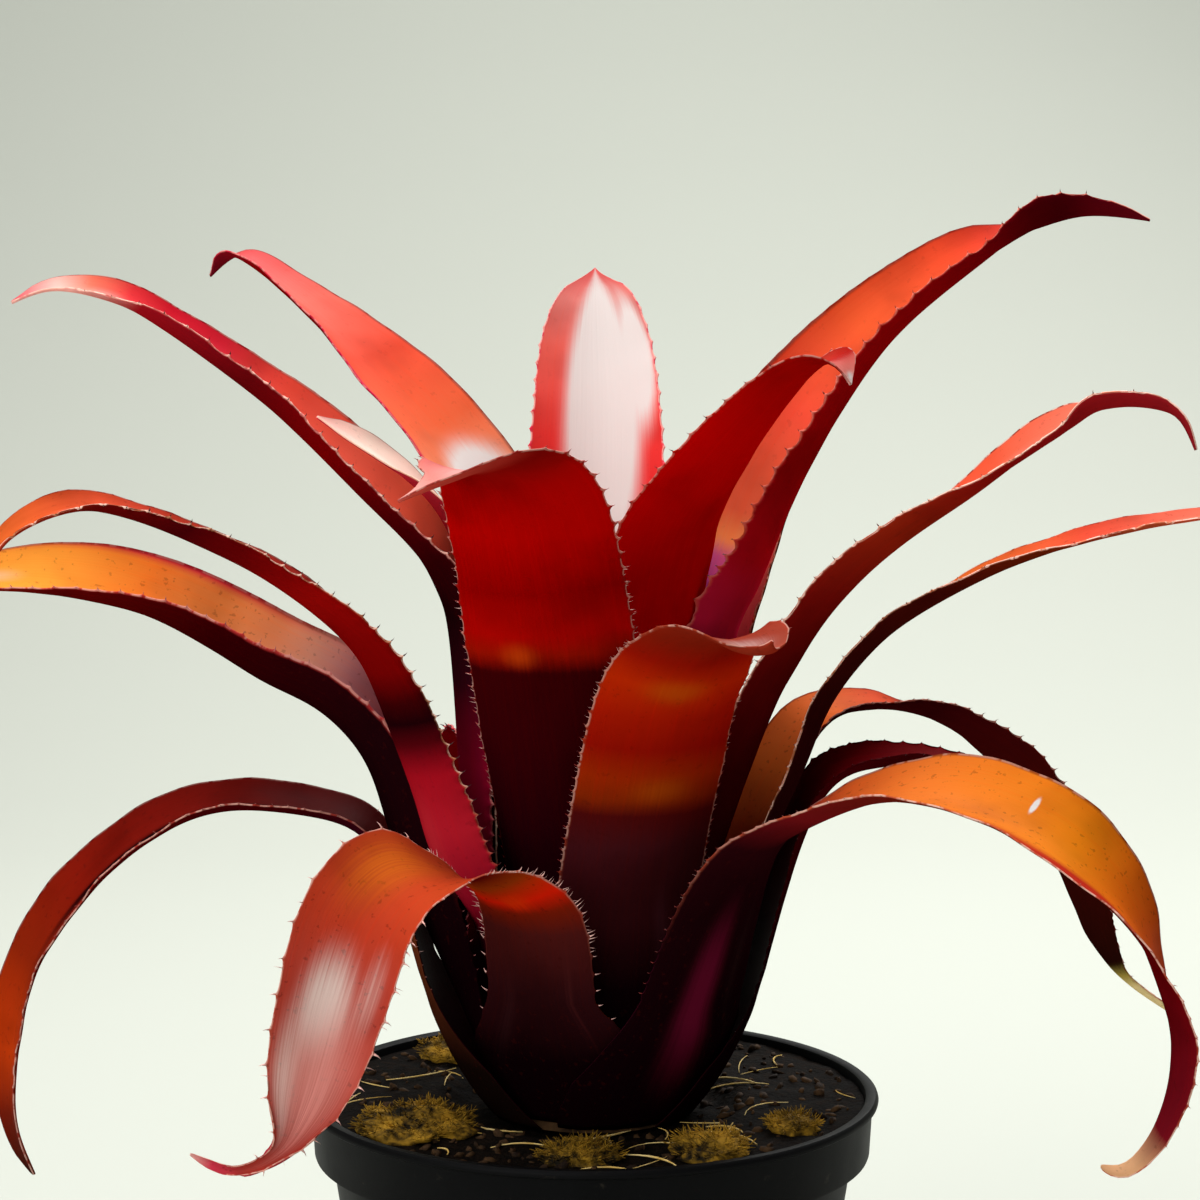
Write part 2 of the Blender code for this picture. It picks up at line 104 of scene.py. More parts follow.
# azimuth: degrees, 0 is right, 90 is back. layer: 0 is outermost. free: the level where the
# blade leaves the funnel. width: half of the blade, millimetres. cup: half the angle of the
# channel, degrees. route: the blade's knots as (reach from the axis, height, roll in degrees,
# drift aside), each without the zeros at its end. taper: how late the blade narrows. tail: the
# share of the length where that ends. blunt: half the width of a broad tip, millimetres.
Leaf = namedtuple("Leaf", "azimuth layer free width cup route taper tail blunt", defaults=(2.4, 0.94, 0))
LEAVES = {
    "left_drooping": Leaf(178, 0, 4, 20, 30, ((74, 235), (103, 245), (131, 245, 5), (157, 232, 14),
        (179, 211, 22), (194, 187, 28), (200, 158, 32), (200, 134, 30),
        (193, 116, 28)), taper=3.5, blunt=5),
    "right_low": Leaf(10, 0, 4, 19, 40, ((78, 248), (101, 258), (126, 257), (147, 249), (159, 235))),
    "right_drooping": Leaf(312, 1, 4, 25, 30, ((77, 237, -10), (100, 255, -14, 4), (130, 268, -17, 12),
        (156, 268, -22, 22), (180, 257, -26, 34), (195, 237, -18, 48), (199, 212, 0, 60),
        (201, 188, 8, 67), (195, 164, 0, 67), (186, 149, 0, 62),
        (179, 149, 0, 57)), taper=3.2, tail=0.88, blunt=4),
    "back_low_left": Leaf(108, 1, 4, 21, 40, ((78, 232), (108, 248), (142, 246), (166, 225),
        (176, 195))),
    "front_drooping": Leaf(250, 2, 4, 20, 30, ((70, 223, 2, 3), (85, 236, 12, -5), (99, 242, 32, -15),
        (112, 243, 58, -24), (121, 232, 80, -33), (126, 212, 90, -39), (129, 191, 92, -44),
        (130, 173, 88, -49), (132, 157, 80, -56), (134, 149, 65, -72),
        (136, 154, 50, -86)), taper=8, tail=0.82),
    "back_low_right": Leaf(74, 2, 5, 21, 40, ((82, 262), (110, 284), (146, 286), (172, 268),
        (186, 236))),
    "left_middle": Leaf(172, 3, 3, 32, 84, ((60, 212), (69, 236), (77, 261), (92, 278, 2),
        (112, 288, 4), (130, 299, 5), (151, 310, 8), (175, 317, 19), (203, 320, 25), (228, 316, 28),
        (246, 300, 28)), taper=4),
    "right_dry_tip": Leaf(28, 3, 5, 17, 30, ((82, 265), (108, 272), (133, 268, 6), (162, 253, 12),
        (186, 228, 15), (200, 203, 15), (209, 180, 10), (221, 162),
        (247, 144)), taper=4.5, tail=0.86, blunt=4.5),
    "right_thin": Leaf(352, 4, 5, 15, 35, ((70, 258), (80, 284, 4), (95, 304, 8), (110, 316, 8),
        (131, 328, 4), (147, 335, -4), (171, 343, -14), (205, 350, -20), (228, 350, -20))),
    "back_short_left": Leaf(130, 4, 6, 15, 45, ((66, 290), (72, 314), (78, 333))),
    "front_short": Leaf(287, 5, 6, 26.5, 30, ((73, 278, 0, 1), (87, 299, 0, 2), (99, 311, -4, 4),
        (109, 318, -8, 6), (118, 321, -10, 9), (125, 320, -8, 11), (130, 318, -4, 13),
        (134, 320, 0, 15), (136, 323, 0, 16)), taper=2.8),
    "back_arched": Leaf(92, 5, 6, 22, 45, ((72, 282), (98, 305), (135, 312), (166, 296), (186, 262))),
    "left_upper": Leaf(205, 6, 5, 27, 60, ((56, 232), (63, 254), (72, 278), (82, 301, 2), (95, 316, 5),
        (116, 332, 5), (136, 343), (158, 353, 3), (177, 358, 15), (192, 356, 26), (205, 348, 30),
        (213, 332, 30)), taper=1.2),
    "right_arched": Leaf(336, 7, 6, 20, 40, ((62, 280), (71, 297), (82, 315, 2), (97, 332, 5),
        (114, 346, 5), (134, 360, -8), (152, 374, -22), (166, 383, -20), (175, 389, 15), (188, 391, 25),
        (201, 388, 30), (207, 377, 35))),
    "left_long": Leaf(187, 7, 6, 25, 60, ((47, 303), (52, 323, 4), (60, 337, 12), (76, 354, 18),
        (100, 378, 11), (119, 394, 5), (145, 413, 5), (161, 421, 14), (178, 424, 18),
        (191, 419, 10)), taper=2.8),
    "right_behind": Leaf(38, 8, 6, 18, 45, ((57, 282), (65, 304), (74, 325), (85, 345), (95, 362))),
    "left_short": Leaf(197, 8, 6, 14, 28, ((41, 318), (46.5, 337), (54.5, 352, 5), (66, 363, 15),
        (81, 374, 27), (94, 382, 32)), taper=4),
    "right_long": Leaf(18, 9, 6, 44, 92, ((48, 300), (57, 320, -3), (67, 346, -9), (76, 365, -13),
        (88, 383, -12), (108, 406, -7), (141, 430, -6), (164, 442, 35), (182, 446, 45),
        (204, 442, 20)), taper=1.7),
    "back_left": Leaf(146.5, 9, 6, 22.5, 36, ((39.5, 332, 3), (59, 364, 10), (86, 388, 8),
        (112, 407, -5), (136, 422, -10), (152, 429), (163, 421)), taper=3),
    "front_tall": Leaf(260, 10, 6, 30.5, 30, ((62, 298, 0, -2.5), (75, 332, 3, -5), (88, 355, 6, -7),
        (98, 366, 9, -9.5), (108, 372, 10, -13), (117, 373, 10, -17.5), (124, 371, 8, -23),
        (127, 368, 4, -30), (128, 365, 0, -37)), taper=3.5),
    "back_upright": Leaf(88, 10, 6, 26.5, 33, ((30, 318), (40, 350), (53, 377), (65, 397, 0, 1),
        (74, 411, 0, 1.5), (80, 419, 0, 2), (84, 424, 0, 2)), taper=3),
    "right_broad": Leaf(316, 11, 6, 31, 40, ((37, 325), (57, 361, -5), (76, 382, -8), (90, 396, -8),
        (101, 403, -4), (109, 403), (113, 397)), taper=1.8),
    "heart": Leaf(148, 11, 5, 14, 45, ((25, 270), (28, 300), (32, 326))),
}

# Colours of the plant, as 8-bit display values
INK = (22, 3, 8)
SOOT = (34, 5, 11)
EARTH = (50, 16, 8)
PLUM = (58, 8, 26)
MAROON = (78, 2, 10)
WINE = (108, 2, 8)
BLOOD = (138, 2, 2)
RED = (176, 8, 4)
CRIMSON = (206, 22, 44)
ROSE = (216, 58, 82)
CORAL = (234, 82, 58)
SALMON = (240, 124, 100)
ORANGE = (240, 124, 44)
AMBER = (250, 158, 56)
RUST = (170, 62, 10)
BROWN = (104, 34, 8)
BLUSH = (240, 184, 174)
PALE = (232, 228, 224)
# The next three are painted light: pale glints on the edges, painted glare on the faces and painted shade
# on a leaf's far edge. PALE is also the colour of the painted glare where a patch names none.
RIM_GLINT = (255, 214, 196)
GLARE = (255, 232, 222)
FAR_EDGE_SHADE = (96, 12, 18)
TAN = (236, 186, 140)

# How a leaf looks. inner and outer: percent of the length and colour in turn, along each face.
# These ramps are partly the leaf's own colour and partly painted light: the glow of light
# shining through the blades, and painted shade low in the rosette and on faces turned away from
# the light. margin: the colour of the edge. The next two fields are patches of the inner and of
# the outer face, as (along, across, length, width, strength, colour). The inner ones are mostly
# painted glare, glints and shade, such as a dark channel, with a few real marks, such as a
# scratch; one that names no colour is a pale painted glare. The outer ones are painted
# highlights, painted reflections and the painted glow of light through the sheaths. teeth:
# (spacing, length, depth of the arcs between them) in millimetres and a colour. hairs: (where
# they start, where they end) as shares of the length and (spacing, length) in millimetres.
# speck: how spotted the leaf is. arc: how square the arcs are. rim: how strong the painted
# glints are, in pale dashes along the edge. calm: the edge, -1 or 1, that has hardly any teeth,
# and whose line is painted in shade. streaks: how much the veins break up the patches.
Look = namedtuple("Look", "inner outer margin sheen glow teeth hairs speck arc rim calm streaks",
                  defaults=((), (), (6, 1.6, 1.6, MAROON), (), 0.1, 4, 0.4, 0, 0.5))
# The look of the leaves that hardly show, with painted glow and shade in its ramps and one pale painted
# glare.
HIDDEN_INNER = (25, SOOT, 40, BLOOD, 60, CORAL, 85, SALMON, 100, BROWN)
HIDDEN_OUTER = (20, INK, 50, MAROON, 80, WINE, 100, MAROON)
HIDDEN_LOOK = Look(HIDDEN_INNER, HIDDEN_OUTER, ROSE, ((0.62, 0, 0.12, 0.35, 0.8),))
LOOKS = {
    "left_drooping": Look(
        (20, SOOT, 30, (66, 10, 10), 40, (86, 12, 10), 56, (126, 22, 14), 66, (138, 26, 12),
         76, (140, 36, 10), 86, (200, 62, 12), 93, (120, 30, 12), 100, EARTH),
        (8, (30, 16, 12), 16, (96, 46, 26), 26, (124, 56, 28), 33, PLUM, 40, MAROON, 60, (96, 8, 10),
         80, (130, 24, 10), 100, BROWN),
        (170, 60, 50), sheen=((0.44, 0.3, 0.22, 0.3, 2.4, (22, 1, 4)),
        (0.6, 0.85, 0.09, 0.16, 1.6, (214, 44, 36))),
        glow=((0.3, -0.3, 0.04, 0.3, 0.7, (150, 66, 20)),), teeth=(5.5, 1.4, 0.9, (150, 60, 50)),
        hairs=((0.2, 0.33, 1.8, 2.6),), speck=0.3, rim=0.5, calm=-1),
    "right_low": Look(
        (30, SOOT, 50, MAROON, 80, WINE, 100, BROWN),
        (30, INK, 60, MAROON, 100, EARTH),
        (70, 6, 10), teeth=(5, 0.8, 1.5, SOOT), speck=0.2, arc=2.2, rim=0),
    "right_drooping": Look(
        (28, PLUM, 35, (176, 60, 36), 40, (222, 100, 40), 48, (238, 124, 46), 56, (242, 130, 34),
         64, (246, 138, 22), 70, (240, 112, 22), 76, (224, 84, 22), 83, (190, 50, 30),
         90, (170, 40, 40), 94.5, (214, 120, 90), 96.5, (240, 206, 170)),
        (10, INK, 24, SOOT, 33, (50, 8, 16), 40, (130, 24, 30), 55, BROWN, 75, WINE, 93, (128, 20, 34),
         97, TAN),
        (206, 92, 66), sheen=((0.588, 0.42, 0.0022, 0.15, 2.0),
        (0.71, -0.85, 0.14, 0.3, 1.5, (190, 40, 24))), glow=((0.15, -0.1, 0.1, 0.3, 0.9, (116, 18, 50)),
        (0.18, 0.5, 0.1, 0.2, 0.25, (80, 56, 54))), teeth=(5.5, 1.2, 0.8, (150, 46, 40)),
        hairs=((0.26, 0.4, 2.2, 1.4),), speck=0.32, rim=0.8, calm=1),
    "front_drooping": Look(
        (30, BROWN, 36, (150, 70, 30), 42, (190, 66, 34), 50, (208, 74, 36), 60, (206, 66, 40),
         66, (200, 70, 54), 78, (206, 84, 70), 86, (170, 50, 38), 93, (170, 56, 46), 97, ROSE,
         100, BLUSH),
        (10, INK, 20, (60, 20, 24), 30, (92, 30, 28), 33.5, (140, 34, 12), 36, (250, 36, 6), 40, RUST,
         45, WINE, 70, MAROON, 100, ROSE),
        (206, 96, 76), sheen=((0.7, -0.1, 0.07, 0.5, 0.85, GLARE), (0.79, -0.55, 0.1, 0.36, 0.6, GLARE),
        (0.79, 0.1, 0.12, 0.8, 0.7, (240, 156, 146)), (0.67, 0.6, 0.07, 0.25, 0.4, GLARE),
        (0.52, -0.3, 0.07, 0.6, 0.6, (230, 116, 30))), glow=((0.2, 0.55, 0.09, 0.1, 0.4, (100, 40, 40)),
        (0.36, 0.1, 0.02, 0.3, 0.8, (246, 56, 6)), (0.16, -0.5, 0.1, 0.2, 0.25, (80, 50, 54))),
        teeth=(9, 2.4, 0.8, BLUSH), hairs=((0.27, 0.45, 1.3, 3.4), (0.6, 0.9, 13, 3.6)), speck=0.35,
        arc=5, rim=0.5, streaks=1.1),
    "left_middle": Look(
        (20, SOOT, 36, MAROON, 41, (140, 60, 70), 46, (192, 124, 128), 51, (224, 156, 130),
         56, (238, 146, 98), 62, (242, 142, 72), 70, ORANGE, 80, AMBER, 92, AMBER, 100, ORANGE),
        (15, INK, 40, SOOT, 60, (56, 0, 4), 78, (96, 6, 6), 90, (150, 30, 14), 100, BLOOD),
        (206, 60, 60), sheen=((0.5, 0.2, 0.05, 0.4, 0.4), (0.86, -0.2, 0.04, 0.3, 0.35),
        (0.68, -1, 0.2, 0.12, 0.9, (206, 34, 60))), teeth=(6, 1.4, 0.9, (196, 110, 110)), speck=0.3,
        calm=-1),
    "right_dry_tip": Look(
        (20, SOOT, 26, (160, 58, 24), 33, (236, 112, 44), 41, (238, 112, 54), 47, (222, 84, 48),
         52, (140, 30, 22), 62, (80, 10, 12), 75, (50, 8, 8), 89, (44, 14, 8), 91, (190, 170, 84),
         93, (238, 220, 172), 100, (228, 208, 160)),
        (20, INK, 50, (66, 6, 12), 70, (84, 14, 10), 89, (44, 14, 8), 91, (184, 164, 80),
         93, (234, 216, 164), 100, (224, 204, 156)),
        (150, 40, 26), teeth=(5.5, 1.2, 1.9, MAROON), speck=0.3, arc=2.4, rim=0.3, calm=1),
    "right_thin": Look(
        (30, RUST, 38, (234, 130, 60), 50, AMBER, 62, ORANGE, 80, CORAL, 95, SALMON, 100, ROSE),
        (20, INK, 40, (44, 6, 8), 62, (70, 16, 10), 75, BROWN, 90, (190, 84, 50), 100, CORAL),
        (240, 160, 120), teeth=(8, 1.2, 1.2, MAROON), speck=0.2, arc=5, rim=2.0, calm=1),
    "back_short_left": Look(
        HIDDEN_INNER,
        HIDDEN_OUTER,
        ROSE),
    "front_short": Look(
        (50, WINE, 75, (140, 46, 34), 84, (146, 48, 32), 92, (158, 62, 44), 97, (180, 86, 68),
         100, (224, 160, 144)),
        (20, INK, 44, (80, 24, 30), 50, (92, 16, 16), 53, (150, 44, 6), 57, (176, 46, 4),
         62, (166, 20, 4), 68, (190, 30, 4), 74, (214, 48, 4), 80, (176, 26, 6), 86, (150, 34, 14),
         100, (160, 54, 34)),
        (160, 60, 38), sheen=((0.94, 0, 0.03, 0.8, 0.4),),
        glow=((0.3, 0.35, 0.1, 0.15, 0.35, (96, 50, 60)), (0.735, -0.05, 0.03, 0.5, 0.7, (206, 84, 8)),
        (0.545, 0.1, 0.03, 0.5, 0.6, (190, 80, 8))), teeth=(4.5, 1.2, 0.7, (150, 30, 16)),
        hairs=((0.4, 0.82, 2.2, 1.8),), speck=0.2, arc=5, rim=0.35),
    "left_upper": Look(
        (40, BLOOD, 55, (206, 66, 60), 68, (214, 70, 56), 78, CORAL, 88, (240, 100, 52), 100, ORANGE),
        (10, INK, 17, (70, 4, 24), 23, (180, 20, 48), 31, (206, 32, 50), 37, (190, 20, 38),
         40.5, (96, 6, 18), 43, (34, 2, 8), 45.5, (66, 2, 6), 49, (130, 4, 4), 60, (160, 10, 8),
         75, MAROON, 84, (110, 10, 8), 92, (190, 60, 36), 100, CORAL),
        (214, 150, 110), sheen=((0.84, 0.4, 0.05, 0.35, 0.35),),
        glow=((0.29, 0.1, 0.07, 0.3, 0.5, (214, 50, 60)),), teeth=(5.5, 1.5, 2.0, (60, 6, 8)),
        speck=0.15, arc=3, rim=0.9, calm=-1),
    "right_arched": Look(
        (40, BLOOD, 60, CORAL, 75, (240, 96, 64), 88, SALMON, 100, ROSE),
        (20, INK, 40, (84, 6, 10), 55, (124, 18, 12), 66, (150, 42, 20), 78, (130, 18, 18),
         100, (150, 30, 40)),
        (250, 190, 160), sheen=((0.75, 0, 0.1, 0.5, 0.3),), teeth=(8, 1.4, 1.3, (120, 20, 20)),
        speck=0.15, arc=5, rim=2.0, calm=1),
    "left_long": Look(
        (35, MAROON, 42, (232, 80, 70), 55, (250, 104, 76), 64, (246, 104, 82), 72, (238, 82, 64),
         79, (216, 40, 58), 85, CRIMSON, 89, (226, 54, 60), 92.5, SALMON, 95.5, BLUSH, 100, ROSE),
        (15, INK, 22, (96, 6, 34), 32, (146, 10, 46), 40, PLUM, 46, SOOT, 55, MAROON, 66, (122, 0, 4),
         76, (104, 8, 16), 88, (160, 20, 34), 94, BLUSH, 100, BLUSH),
        (244, 150, 140), sheen=((0.62, 0.3, 0.05, 0.3, 0.4), (0.91, 0, 0.03, 0.5, 0.4)),
        teeth=(6.2, 1.6, 2.1, MAROON), arc=2.4, rim=0.8, calm=-1),
    "right_behind": Look(
        (40, MAROON, 60, ROSE, 100, SALMON),
        (30, INK, 60, (46, 0, 8), 80, (90, 20, 16), 100, BROWN),
        (206, 100, 60), teeth=(6, 1.2, 1, SALMON), speck=0.2),
    "left_short": Look(
        (50, ROSE, 68, SALMON, 80, (236, 200, 186), 92, (236, 216, 200), 100, BLUSH),
        (30, INK, 70, WINE, 100, ROSE),
        (244, 220, 190), teeth=(7, 0.8, 0.6, SOOT), rim=0.3, calm=-1),
    "right_long": Look(
        (37, SOOT, 41, (64, 34, 40), 43, (160, 60, 126), 45.8, (196, 84, 140), 47.4, (240, 146, 84),
         50, (238, 108, 72), 60, (236, 84, 60), 70, (240, 98, 52), 80, (238, 84, 50), 90, (206, 44, 50),
         100, MAROON),
        (30, INK, 36, PLUM, 40, (206, 32, 74), 46, (186, 14, 38), 55, (156, 8, 12), 75, (134, 4, 10),
         90, (80, 2, 14), 100, (110, 10, 26)),
        (240, 110, 90), sheen=((0.74, -0.35, 0.07, 0.3, 0.9),),
        glow=((0.42, -0.5, 0.05, 0.3, 0.5, (200, 30, 70)),), teeth=(6.2, 1.3, 2.8, MAROON), arc=2.2,
        rim=0.2, calm=1),
    "back_left": Look(
        (40, SOOT, 50, CRIMSON, 58, (240, 150, 110), 66, (238, 106, 66), 76, (234, 82, 58),
         86, (238, 110, 96), 94, (232, 96, 96), 100, (130, 20, 40)),
        (30, INK, 60, WINE, 90, BLOOD, 100, (120, 20, 40)),
        (206, 34, 66), sheen=((0.575, -0.25, 0.045, 0.5, 2.2),
        (0.7, 1, 0.16, 0.16, 1.2, (206, 36, 84))), teeth=(7, 0.7, 0.5, MAROON), rim=0.3, calm=-1),
    "front_tall": Look(
        (60, BLOOD, 80, CORAL, 88, (212, 104, 98), 95, (218, 136, 128), 100, BLUSH),
        (15, INK, 30, (44, 2, 12), 45, (60, 2, 8), 55, (64, 2, 6), 57.5, (166, 20, 2), 60, (190, 6, 2),
         66, (152, 0, 0), 74, (186, 2, 0), 82, (176, 4, 2), 88, (150, 14, 8), 100, (206, 90, 76)),
        (150, 34, 28), sheen=((0.9, 0, 0.06, 0.8, 0.4),),
        glow=((0.575, -0.3, 0.02, 0.25, 0.6, (206, 70, 10)),), teeth=(4.8, 1.4, 1.3, (150, 30, 26)),
        hairs=((0.36, 0.68, 2.6, 2.4),), arc=5, rim=0.35),
    "back_upright": Look(
        (40, MAROON, 55, CRIMSON, 66, (228, 42, 48), 76, (236, 62, 58), 88, (240, 106, 94),
         95, (240, 140, 132), 100, (230, 92, 92)),
        (30, INK, 60, BLOOD, 100, RED),
        (226, 50, 92), sheen=((0.79, -0.08, 0.155, 0.4, 3.2), (0.86, -0.68, 0.08, 0.24, 1.8)),
        teeth=(5, 0.6, 1.0, PALE), speck=0.05, arc=3, rim=0.6),
    "right_broad": Look(
        (50, BLOOD, 80, CORAL, 96, (170, 26, 20), 98.5, (226, 130, 120), 100, PALE),
        (25, INK, 33, MAROON, 40, (214, 2, 2), 80, (184, 2, 2), 93, (168, 6, 2), 98.5, (140, 12, 8),
         100, BLUSH),
        (160, 24, 14), sheen=((0.992, 0.3, 0.008, 0.6, 0.8),),
        glow=((0.6, 0.6, 0.12, 0.25, 0.25, (150, 54, 4)),), teeth=(6.5, 1.6, 1.0, (120, 4, 4)),
        hairs=((0.3, 0.6, 5, 1.6),), speck=0.05, arc=5, rim=0.3),
    "heart": Look(
        (30, MAROON, 60, CORAL, 100, SALMON),
        (30, INK, 70, BLOOD, 100, CORAL),
        ROSE),
}

# Leaf mesh
LEAF_THICKNESS = 1.0 * MM
EDGE_THICKNESS = 0.4 * MM
STRIPS = 14                       # strips across a leaf, closer together at its edges
SHEATH_STEP = 3 * MM              # spacing of stations where the edge has no teeth
ARC_STEPS = (0.0, 0.07, 0.18, 0.34, 0.5, 0.66, 0.82, 0.93)   # stations between two teeth, as shares
TIP_STEPS = (0.12, 0.3, 0.48, 0.64, 0.78, 0.88, 0.95, 1.0)      # stations from the last tooth on
TIP_ROUNDING = 9 * MM             # length over which the tip narrows
TIP_POWER = 0.6
SMOOTH_ROUNDS = 14                # how often the blade's course is smoothed
TEETH_START = 0.16                # share of the length where the teeth start
TEETH_END = 0.955
CALM_SHARE = 0.06                 # size of the teeth on a leaf's calm edge, as a share of the others
TEETH_SPREAD = (0.75, 1.45)       # how their spacing grows from the sheath to the tip
POINT_HALF_WIDTH = 0.3 * MM
RIPPLE_LENGTH = 42 * MM
FINE_RIPPLE_LENGTH = 0.43 * RIPPLE_LENGTH
RIPPLE_HEIGHT = 0.4 * MM
RIPPLE_START = 0.3                # share of the length over which ripples and groove set in
RIPPLE_END = 0.15                 # share of the length, up to the tip, over which they die away
GROOVE_DEPTH = 0.5 * MM
GROOVE_HALF_WIDTH = 0.14          # as a share of the leaf's
ARC_POWER = 24                    # how close to the edge the arcs stay
THINNING_POWER = 6                # how close to the edge a leaf thins
OUTER, TEETH, HAIRS = 1, 2, 3     # a leaf's material slots, after its inner face's
LIGHT_THROUGH = 0.3               # share of the light that passes through a leaf


def display(colour):
    """An 8-bit display colour as the linear, opaque colour that a shader takes."""
    linear = [c / 255 / 12.92 if c <= 10 else ((c / 255 + 0.055) / 1.055) ** 2.4 for c in colour]
    return (*linear, 1.0)


def arithmetic(operation, swapped=False):
    """A method of Term that puts a maths node between it and another value."""
    def method(self, other):
        return self.maths(operation, *((other, self) if swapped else (self, other)))
    return method


class Term:
    """One socket of a finish's node tree, used as a number in Python expressions."""

    def __init__(self, finish, socket):
        self.finish = finish
        self.socket = socket

    def maths(self, operation, *values):
        node = self.finish.node("ShaderNodeMath", {"operation": operation}, dict(enumerate(values)))
        return Term(self.finish, node.outputs[0])

    __add__ = __radd__ = arithmetic("ADD")
    __sub__ = arithmetic("SUBTRACT")
    __rsub__ = arithmetic("SUBTRACT", swapped=True)
    __mul__ = __rmul__ = arithmetic("MULTIPLY")
    __truediv__ = arithmetic("DIVIDE")
    __pow__ = arithmetic("POWER")
    __rpow__ = arithmetic("POWER", swapped=True)

    def __abs__(self):
        return self.maths("ABSOLUTE", self)

    def clear(self, low, high):
        """0 below low, 1 above high, and smooth between."""
        node = self.finish.node("ShaderNodeMapRange", {"interpolation_type": "SMOOTHSTEP"},
                                {"Value": self, "From Min": low, "From Max": high})
        return Term(self.finish, node.outputs[0])


class Finish:
    """A material under construction."""

    def __init__(self, name):
        self.material = bpy.data.materials.new(name)
        self.material.use_nodes = True
        self.tree = self.material.node_tree
        self.shader = self.tree.nodes["Principled BSDF"]

    def node(self, kind, settings=None, values=None):
        made = self.tree.nodes.new(kind)
        for key, setting in (settings or {}).items():
            if key == "stops":
                self.fill_ramp(made.color_ramp, setting)
            else:
                setattr(made, key, setting)
        for key, value in (values or {}).items():
            self.connect(value, made.inputs[key])
        return made

    def fill_ramp(self, ramp, stops):
        while len(ramp.elements) < len(stops) / 2:
            ramp.elements.new(0.5)
        for element, percent, colour in zip(ramp.elements, stops[::2], stops[1::2]):
            element.position = percent / 100
            element.color = display(colour)

    def connect(self, value, socket):
        if isinstance(value, Term):
            self.tree.links.new(value.socket, socket)
        else:
            socket.default_value = value

    def term(self, *args, output=0):
        return Term(self, self.node(*args).outputs[output])

    def place(self):
        return self.term("ShaderNodeTexCoord", output="Object")

    def blade(self):
        """Across, 0 to 1 from edge to edge, and along, 0 at the seat and 1 at the tip."""
        uv = self.term("ShaderNodeUVMap", {"uv_map": "blade"})
        parts = self.node("ShaderNodeSeparateXYZ", None, {"Vector": uv})
        return Term(self, parts.outputs["X"]), Term(self, parts.outputs["Y"])

    def vector(self, x, y, z):
        return self.term("ShaderNodeCombineXYZ", None, {"X": x, "Y": y, "Z": z})

    def noise(self, vector, scale, detail=3.0, roughness=0.5):
        return self.term("ShaderNodeTexNoise", None,
                         {"Vector": vector, "Scale": scale, "Detail": detail, "Roughness": roughness})

    def cells(self, vector, scale):
        return self.term("ShaderNodeTexVoronoi", None, {"Vector": vector, "Scale": scale})

    def ramp(self, value, stops):
        return self.term("ShaderNodeValToRGB", {"stops": stops}, {"Fac": value})

    def mix(self, share, first, second, blend="MIX"):
        first, second = (c if isinstance(c, Term) else display(c) for c in (first, second))
        return self.term("ShaderNodeMix", {"data_type": "RGBA", "blend_type": blend},
                         {0: share, 6: first, 7: second}, output=2)

    def bump(self, height, distance, strength):
        return self.term("ShaderNodeBump", None,
                         {"Height": height, "Distance": distance, "Strength": strength})

    def surface(self, **values):
        for key, value in values.items():
            self.connect(value, self.shader.inputs[key.replace("_", " ")])
        return self

    def let_light_through(self, colour, share):
        """Mixes in a shader that glows when the surface is lit from behind."""
        through = self.node("ShaderNodeBsdfTranslucent", None, {"Color": colour})
        both = self.node("ShaderNodeMixShader", None, {"Fac": share})
        self.tree.links.new(self.shader.outputs[0], both.inputs[1])
        self.tree.links.new(through.outputs[0], both.inputs[2])
        self.tree.links.new(both.outputs[0], self.tree.nodes["Material Output"].inputs["Surface"])
        return self


